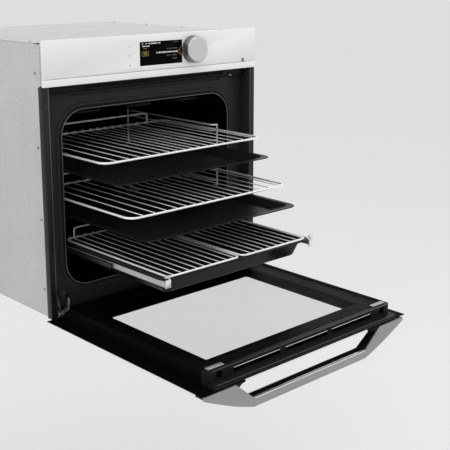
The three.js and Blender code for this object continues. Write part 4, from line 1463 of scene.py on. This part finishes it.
@dataclass
class Door:
    """The drop-down door: three panes, printed borders, profiles, top cap and handle.

    Attributes:
        windows: half width and Y ends of the clear part of the inner and outer pane.
        window_corner: corner radius of both.
        print_thick: thickness of the printed borders.
        print_gap: from a printed border to its pane.
        pane_edge: radius of the panes' ground edges.
        bar_fold: X where the handle's bar turns into its end plates.
        bar: height of the handle's bar.
        slots: ends of the vent slots in the top cap.
        origin: Y of the control panel's face, from which the windows are measured.
        rib_pitch: from one rib to the next along the edge over the vent slots.
        ledge: height of the cap's lower step.
    """

    windows: tuple[Point, Point] = ((0.220, -0.397, -0.030), (0.222, -0.400, -0.051))
    window_corner: float = 0.0018
    print_thick: float = 0.00018
    print_gap: float = 0.00002
    pane_edge: float = 0.0006
    bar_fold: float = 0.163
    bar: float = 0.018
    slots: tuple[Pair, ...] = ((-0.200, -0.076), (-0.062, 0.062), (0.074, 0.200))
    origin: float = -0.3
    rib_pitch: float = 0.0022
    ledge: float = 0.009

    def build(self) -> None:
        """Builds the whole door."""
        for node, corner in (("outer_glass", 0.0012), ("middle_glass", 0.004), ("inner_glass", 0.004)):
            room = Room.of(node)
            outline = rounded_loop(room.span("X"), room.span("Y"), corner, 5)
            pane = slab(f"{node}_ground", outline, "Z", room.span("Z"), self.pane_edge)
            settle(pane, "door", CLEAR, (node,))
        inner, outer = Room.of("inner_glass"), Room.of("outer_glass")
        self._border("inner_glass", self.windows[0], inner.low.z - self.print_gap - self.print_thick)
        self._border("outer_glass", self.windows[1], outer.high.z + self.print_gap)
        for side in Side:
            softened(f"door_profile_{side.word}", 0.0005, DOOR_ENAMEL)
            softened(f"glass_clip_{side.word}", 0.0006, CLIP_STEEL)
        softened("door_bottom_profile", 0.0005, DOOR_ENAMEL)
        self._cap()
        self._buffers(inner.high.z)
        self._handle()

    def _border(self, node: str, window: Point, low: float) -> None:
        """A black border fired onto a pane.

        Args:
            node: the pane.
            window: half width and Y ends of its clear part.
            low: height of the border's underside.
        """
        room, (half, near, far) = Room.of(node), window
        outer = rounded_loop(room.span("X", -0.0004), room.span("Y", -0.0004), 0.003, 5)
        hole = rounded_loop((-half, half), (near + self.origin, far + self.origin), self.window_corner, 5)
        high = low + self.print_thick
        levels = ((outer, low), (outer, high), (hole, high), (hole, low))
        rings = [[Vector((*p, z)) for p in loop] for loop, z in levels]
        settle(skinned(f"{node}_border", rings, closed=True), "door", PRINT)

    def _cap(self) -> None:
        """The moulded top cap, with a glowing painted highlight for the glass edge in each slot, painted
        shade behind each slot and in each catch hole, and painted highlight lines along its edges.
        """
        softened("door_top_cap", 0.0009, BLACK_PLASTIC, 3)
        room = Room.of("door_top_cap")
        face = room.low.y + 0.0165
        for k, (left, right) in enumerate(self.slots):
            # painted highlight: a glowing strip that stands for the glass edge catching the light in each
            # slot
            strip = block(f"slot_edge_{k}", (left + 0.001, right - 0.001), (face + 0.0012, face + 0.0024),
                          (0.0208, 0.0219), 0.0002)
            settle(strip, "door", PAINTED_GLASS_GLINT)
            # painted shade: a near-black sheet at the back of each slot
            shade = block(f"slot_shade_{k}", (left - 0.001, right + 0.001), (face + 0.0032, face + 0.0068),
                          (0.0115, 0.0235))
            settle(shade, "door", PAINTED_SHADE_BLACK)
            rib = block("rib", (-0.0004, 0.0004), (-0.0002, 0.0014), (-0.0002, 0.0003))
            row_of(f"slot_ribs_{k}", rib, round((right - left) / self.rib_pitch),
                   (left, face - 0.0001, room.high.z - 0.0001), (self.rib_pitch, 0.0, 0.0), CAP_GREY, "door")
        for side in Side:
            # painted shade: a near-black block that fills each catch hole
            hole_shade = block(f"catch_insert_{side.word}", side.span(0.2305, 0.2415),
                           (face + 0.004, face + 0.0105), (0.0135, 0.0245), 0.0005)
            settle(hole_shade, "door", PAINTED_SHADE_BLACK)
        for word, y, z in (("upper", face, room.high.z), ("ledge", room.low.y, self.ledge)):
            # painted highlight: light lines along the cap's upper edge and its ledge
            line = block(f"cap_line_{word}", room.span("X", -0.008), (y - 0.0002, y + 0.0005),
                         (z - 0.0004, z + 0.0002))
            settle(line, "door", PAINTED_EDGE_HIGHLIGHT)

    def _buffers(self, top: float) -> None:
        """Round rubber buffers along both edges of the inner pane.

        Args:
            top: height of the pane's upper face.
        """
        profile = [(0.0, top + 0.0006), (0.003, top + 0.0005), (0.0038, top + 0.0002), (0.004, top),
                   (0.0, top)]
        for side in Side:
            parts = [turned("buffer", profile, (side.value * 0.2465, y + self.origin, 0), "Z", 20)
                     for y in (-0.06, -0.215, -0.37)]
            settle(joined(f"pane_buffers_{side.word}", parts), "door", PRINT)

    def _shoulder(self, end: float, top: float, fold: float, low: float, steps: int) -> list[Pair]:
        """The curve from the end of the handle down to its bar, seen from the front.

        Args:
            end: X of the end.
            top: height where the curve starts.
            fold: X where it meets the bar.
            low: height where it meets the bar.
            steps: stretches in the curve.

        Returns:
            The curve's points.
        """
        curve = bezier(Vector((end, top)), Vector((fold + 0.05, low + 0.014)), Vector((fold, low)), steps)
        return [tuple(point) for point in curve]

    def _handle(self) -> None:
        """The satin blade, a painted highlight strip along its upper edge, and the black grip behind it."""
        blade, liner = Room.of("handle_blade"), Room.of("handle_liner")
        end, top, low, grip = blade.high.x, blade.high.z, blade.low.z, blade.low.z + self.bar
        right = [(0.210, top), (end, top), *self._shoulder(end, top - 0.007, self.bar_fold, low, 14)]
        left = [(-x, z) for x, z in reversed(right)]
        outline = right + left + [(-self.bar_fold, grip), (self.bar_fold, grip)]
        body = slab("handle_blade_drawn", outline, "Y", blade.span("Y"), 0.0005)
        settle(body, "door", SATIN, ("handle_blade",), 25)
        # painted highlight: a near-white strip that stands for light along the blade's upper edge
        shine = block("blade_edge", (-self.bar_fold + 0.0004, self.bar_fold - 0.0004),
                      (blade.low.y - 0.0005, blade.high.y + 0.0018), (grip - 0.0014, grip + 0.0006), 0.0004)
        settle(shine, "door", PAINTED_HIGHLIGHT_AND_BRIGHT_SATIN)
        wall = self._layer(blade, 0.0016, (liner.high.y - 0.0045, liner.high.y))
        channel = self._layer(blade, 0.0046, (liner.low.y, liner.high.y - 0.004))
        settle(joined("handle_grip", [channel, wall]), "door", BLACK_PLASTIC, ("handle_liner",))

    def _layer(self, blade: Room, drop: float, depth: Pair) -> Thing:
        """One layer of the grip that follows the blade, with its flared shoulders under the glass.

        Args:
            blade: box of the blade.
            drop: how far the layer's upper edge lies below the bar's.
            depth: front and back of the layer.

        Returns:
            The layer.
        """
        end, top, low = blade.high.x - 0.0012, blade.high.z, blade.low.z + 0.002
        foot, fold = 0.2095, self.bar_fold - 0.001
        path = [(foot - 0.028, top), (end, top), *self._shoulder(end, top - 0.006, fold, low, 12)]
        inner = [(fold, blade.low.z + self.bar - drop), (foot - 0.009, top - 0.016),
                 (foot - 0.0125, top - 0.0095), (foot - 0.018, top - 0.0052), (foot - 0.028, top - 0.0032)]
        outline = path + [(-x, z) for x, z in reversed(path)] + [(-x, z) for x, z in reversed(inner)] + inner
        return slab("grip_layer", outline, "Y", depth, 0.0006)


@dataclass
class WireShelf:
    """A chromed wire shelf: a rim with a raised bail, and wires from front to back.

    Attributes:
        node: the frame node that it stands for.
        body: the body that it rides on.
        edge_wire: radius of the outer wire.
        wire: radius of the shelf wires.
        corner: radius of the rim's corners.
        steps: stretches in each corner.
        bail: X ends of the raised bail, inset from the rim if none.
        bend: radius of the bail's bends.
        drop: how far the bail's centre line lies below the node's top.
        lift: how far the shelf wires lie over the rim's centre line.
        spacing: first wire's distance from the middle, next gap, and how much each gap grows.
        count: shelf wires.
        mirrored: 1 where the wires stand on both sides of the middle.
        hand: -1 where they stand on its left.
    """

    node: str
    body: str
    edge_wire: float = 0.0023
    wire: float = 0.0011
    corner: float = 0.022
    steps: int = 10
    bail: Pair | None = (-0.165, 0.165)
    bend: float = 0.010
    drop: float = 0.0026
    lift: float = 0.0036
    spacing: Point = (0.0105, 0.0215, 0.00155)
    count: int = 16
    mirrored: float = 1.0
    hand: float = 1.0

    @staticmethod
    def half_grid(side: Side) -> "WireShelf":
        """One of the two half grids that lie on the deep tray."""
        return WireShelf(f"half_grid_{side.word}", "deep_tray_carriage", 0.0022, 0.0011, 0.012, 8, None,
                         0.008, 0.0024, 0.0032, (0.0243, 0.0203, 0.0), 9, 0.0, float(side.value))

    def build(self) -> None:
        """Builds the rim with its bail, and the shelf wires."""
        room = Room.of(self.node)
        x, y = room.span("X", -self.edge_wire), room.span("Y", -self.edge_wire)
        z, top = room.low.z + self.edge_wire, room.high.z - self.drop
        left, right = self.bail or (x[0] + 0.022, x[1] - 0.022)
        rim = [Vector((u, v, z)) for u, v in rounded_loop(x, y, self.corner, self.steps)]
        bail = fillet([(left, y[1], z), (left, y[1], top), (right, y[1], top), (right, y[1], z)], self.bend)
        frame_wire = wire_work(f"{self.node}_rim", [rim, bail], self.edge_wire, (True, False))
        settle(frame_wire, self.body, CHROME, (self.node,))
        first, gap, growth = self.spacing
        wires = run_tree(f"{self.node}_wires", wire_rank_tree(), {
            "Count": self.count, "First": first, "Gap": gap, "Growth": growth, "Mirrored": self.mirrored,
            "Hand": self.hand, "Length": y[1] - y[0] + 0.004, "Radius": self.wire,
            "Middle": (0.0, (y[0] + y[1]) / 2, z + self.lift),
        })
        settle(wires, self.body, CHROME)


@dataclass
class BakingTray:
    """An enamelled tray with a rolled rim.

    Attributes:
        node: the frame node that it stands for.
        body: the body that it rides on.
        corner: corner radius at the rim.
        rim: width of the flat rim.
        slope: how far the wall leans in from rim to floor.
        sheet: thickness.
        dimples: dimples across and along the floor, none if zero.
        dimple: radius and rise of a dimple.
    """

    node: str
    body: str
    corner: float = 0.026
    rim: float = 0.014
    slope: float = 0.030
    sheet: float = 0.0012
    dimples: tuple[int, int] = (0, 0)
    dimple: Pair = (0.0021, 0.0005)

    def build(self) -> None:
        """Builds the tray, and its dimples where it has them."""
        room, rim = Room.of(self.node), self.rim
        low, top, deep, floor = room.low.z, room.high.z, rim + self.slope, room.low.z + self.sheet
        levels = [(deep + 0.004, low), (deep + 0.001, low + 0.0006), (deep - 0.001, low + 0.003),
                  (rim + 0.001, top - 0.004), (rim - 0.001, top - 0.0016), (0.0012, top - 0.0016),
                  (0.0003, top - 0.0018), (0.0, top - 0.001), (0.0006, top - 0.0001), (0.0016, top),
                  (rim - 0.0016, top - 0.0003), (rim - 0.0002, top - 0.0010), (rim + 0.001, top - 0.003),
                  (deep, floor + 0.003), (deep + 0.0015, floor + 0.0008), (deep + 0.005, floor)]
        rings = []
        for inset, z in levels:
            radius = max(self.corner - 0.3 * inset, 0.006)
            loop = rounded_loop(room.span("X", -inset), room.span("Y", -inset), radius, 10)
            rings.append([Vector((u, v, z)) for u, v in loop])
        settle(skinned(f"{self.node}_pressed", rings), self.body, TRAY_ENAMEL, (self.node,), 50)
        if not self.dimples[0]:
            return
        x, y = room.span("X", -deep - 0.012), room.span("Y", -deep - 0.012)
        dimples = run_tree(f"{self.node}_dimples", dimple_tree(), {
            "Width": x[1] - x[0], "Depth": y[1] - y[0], "Across": self.dimples[0], "Along": self.dimples[1],
            "Radius": self.dimple[0], "Rise": self.dimple[1], "Middle": (0.0, (y[0] + y[1]) / 2, floor),
        })
        settle(dimples, self.body, TRAY_ENAMEL, (), 60)


@dataclass
class TelescopicRails:
    """Three-part runners that carry the deep tray, and the strip between its half grids.

    Attributes:
        edge: radius of the runners' edges.
        hook: distance of the hook's plate from the middle, near and far.
        hook_plates: low and high edge of the plate and of the curl over it.
        joiner: half width of the strip.
        rib: half depth of a rib of the strip.
        rib_pitch: from one rib of the strip to the next.
        body: the body that the hooks and the strip ride on.
    """

    edge: float = 0.0005
    hook: Pair = (0.1997, 0.2121)
    hook_plates: tuple[Pair, Pair] = ((0.1305, 0.1463), (0.1508, 0.1548))
    joiner: float = 0.0045
    rib: float = 0.0011
    rib_pitch: float = 0.0048
    body: str = "deep_tray_carriage"

    def build(self) -> None:
        """Builds the runners on both sides, their bright hooks, and the ribbed strip."""
        for side in Side:
            # the middle runner is darkened: painted shade, as on a runner lying in shadow
            for member, finish in (("outer", ZINC), ("middle", DARK_STEEL_AND_PAINTED_RAIL_SHADE), ("inner", RAIL_CHROME)):
                softened(f"rail_{member}_{side.word}", self.edge, finish)
            front = Room.of(f"rail_inner_{side.word}").low.y
            plates = [block("plate", side.span(*self.hook), (front - 0.0004, front + 0.0006), z, 0.0003)
                      for z in self.hook_plates]
            settle(joined(f"hook_cover_{side.word}", plates), self.body, PAINTED_HIGHLIGHT_AND_BRIGHT_SATIN)
        grid, half = Room.of("half_grid_right"), (-self.rib, self.rib)
        count = round((grid.high.y - grid.low.y - 0.03) / self.rib_pitch)
        row_of("grid_joiner", block("rib", (-self.joiner, self.joiner), half, half, 0.0004), count,
               (0.0, grid.low.y + 0.015, grid.low.z + 0.0022), (0.0, self.rib_pitch, 0.0), CHROME, self.body)


# ---------------------------------------------------------------- studio


@dataclass
class Studio:
    """Pale floor, soft lights and the camera.

    Attributes:
        floor: height of the floor.
        reach: half the floor's width.
        paint: the floor's shade and roughness.
        sky: strength of the white sky.
        lights: name, place, size and power of each soft light.
        aim: where the lights point.
        eye: the camera's place.
        heading: degrees from straight ahead towards the right.
        pitch: degrees below the horizon.
        lens: focal length in millimetres on a 36 mm sensor.
        shift: vertical shift of the lens.
    """

    floor: float = -0.75
    reach: float = 40.0
    paint: Pair = (0.80, 0.9)
    sky: float = 0.9
    lights: tuple[tuple[str, Point, float, float], ...] = (
        ("key", (-2.0, -1.4, 2.8), 2.4, 14.0),
        ("top", (0.3, -0.6, 2.9), 2.6, 16.0),
        ("fill", (2.6, -1.8, 1.0), 2.0, 5.0),
    )
    aim: Point = (0, -0.4, 0.25)
    eye: Point = (-1.3091, -1.9166, 0.7414)
    heading: float = 42.99
    pitch: float = 12.86
    lens: float = 75.44
    shift: float = -0.1

    def build(self) -> None:
        """Sets up the room."""
        bpy.context.scene.view_settings.view_transform = VIEW_TRANSFORM
        self._ground()
        for light in self.lights:
            self._light(*light)
        self._camera()

    def _ground(self) -> None:
        """A wide pale floor and a white sky."""
        edge = (-self.reach, self.reach)
        corners = [(x, y, self.floor) for x, y in box_outline(edge, edge)]
        made = new_object("studio_floor", corners, [(0, 1, 2, 3)])
        paint = bpy.data.materials.new("studio_floor")
        paint.use_nodes = True
        shader = paint.node_tree.nodes["Principled BSDF"].inputs
        shader["Base Color"].default_value = (*grey(self.paint[0]), 1)
        shader["Roughness"].default_value = self.paint[1]
        made.data.materials.append(paint)
        world = bpy.data.worlds.new("studio")
        world.use_nodes = True
        light = world.node_tree.nodes["Background"].inputs
        light["Color"].default_value = (1, 1, 1, 1)
        light["Strength"].default_value = self.sky
        bpy.context.scene.world = world

    def _light(self, name: str, place: Point, size: float, power: float) -> None:
        """A square soft light.

        Args:
            name: its name.
            place: where it stands.
            size: length of its side.
            power: its power in watts.
        """
        lamp = bpy.data.lights.new(name, "AREA")
        lamp.size = size
        lamp.energy = power
        stand = linked(name, lamp)
        stand.location = place
        stand.rotation_euler = (Vector(self.aim) - Vector(place)).to_track_quat("-Z", "Y").to_euler()

    def _camera(self) -> None:
        """The camera at the height and angle of a person standing to the left."""
        data = bpy.data.cameras.new("camera")
        data.lens = self.lens
        data.sensor_width = SENSOR
        data.shift_y = self.shift
        camera = linked("camera", data)
        camera.location = self.eye
        camera.rotation_euler = (math.radians(90 - self.pitch), 0, math.radians(-self.heading))
        bpy.context.scene.camera = camera


def main() -> None:
    """Builds the oven from the case outwards, and then the room round it."""
    logging.basicConfig(level=logging.INFO, format="%(message)s")
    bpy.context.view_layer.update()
    parts = [
        Casing(), ControlFascia(), FrontFrame(), Cavity(), Works(), Door(),
        WireShelf("wire_rack_upper", "upper_rack"),
        BakingTray("tray_dimpled", "dimpled_tray", dimples=(44, 47)),
        WireShelf("wire_rack_lower", "lower_rack"),
        BakingTray("tray_flat", "flat_tray", slope=0.024),
        BakingTray("deep_tray", "deep_tray_carriage", corner=0.022, slope=0.013),
        *(WireShelf.half_grid(side) for side in Side), TelescopicRails(), Studio(),
    ]
    for part in parts:
        part.build()


if __name__ == "__main__":
    main()
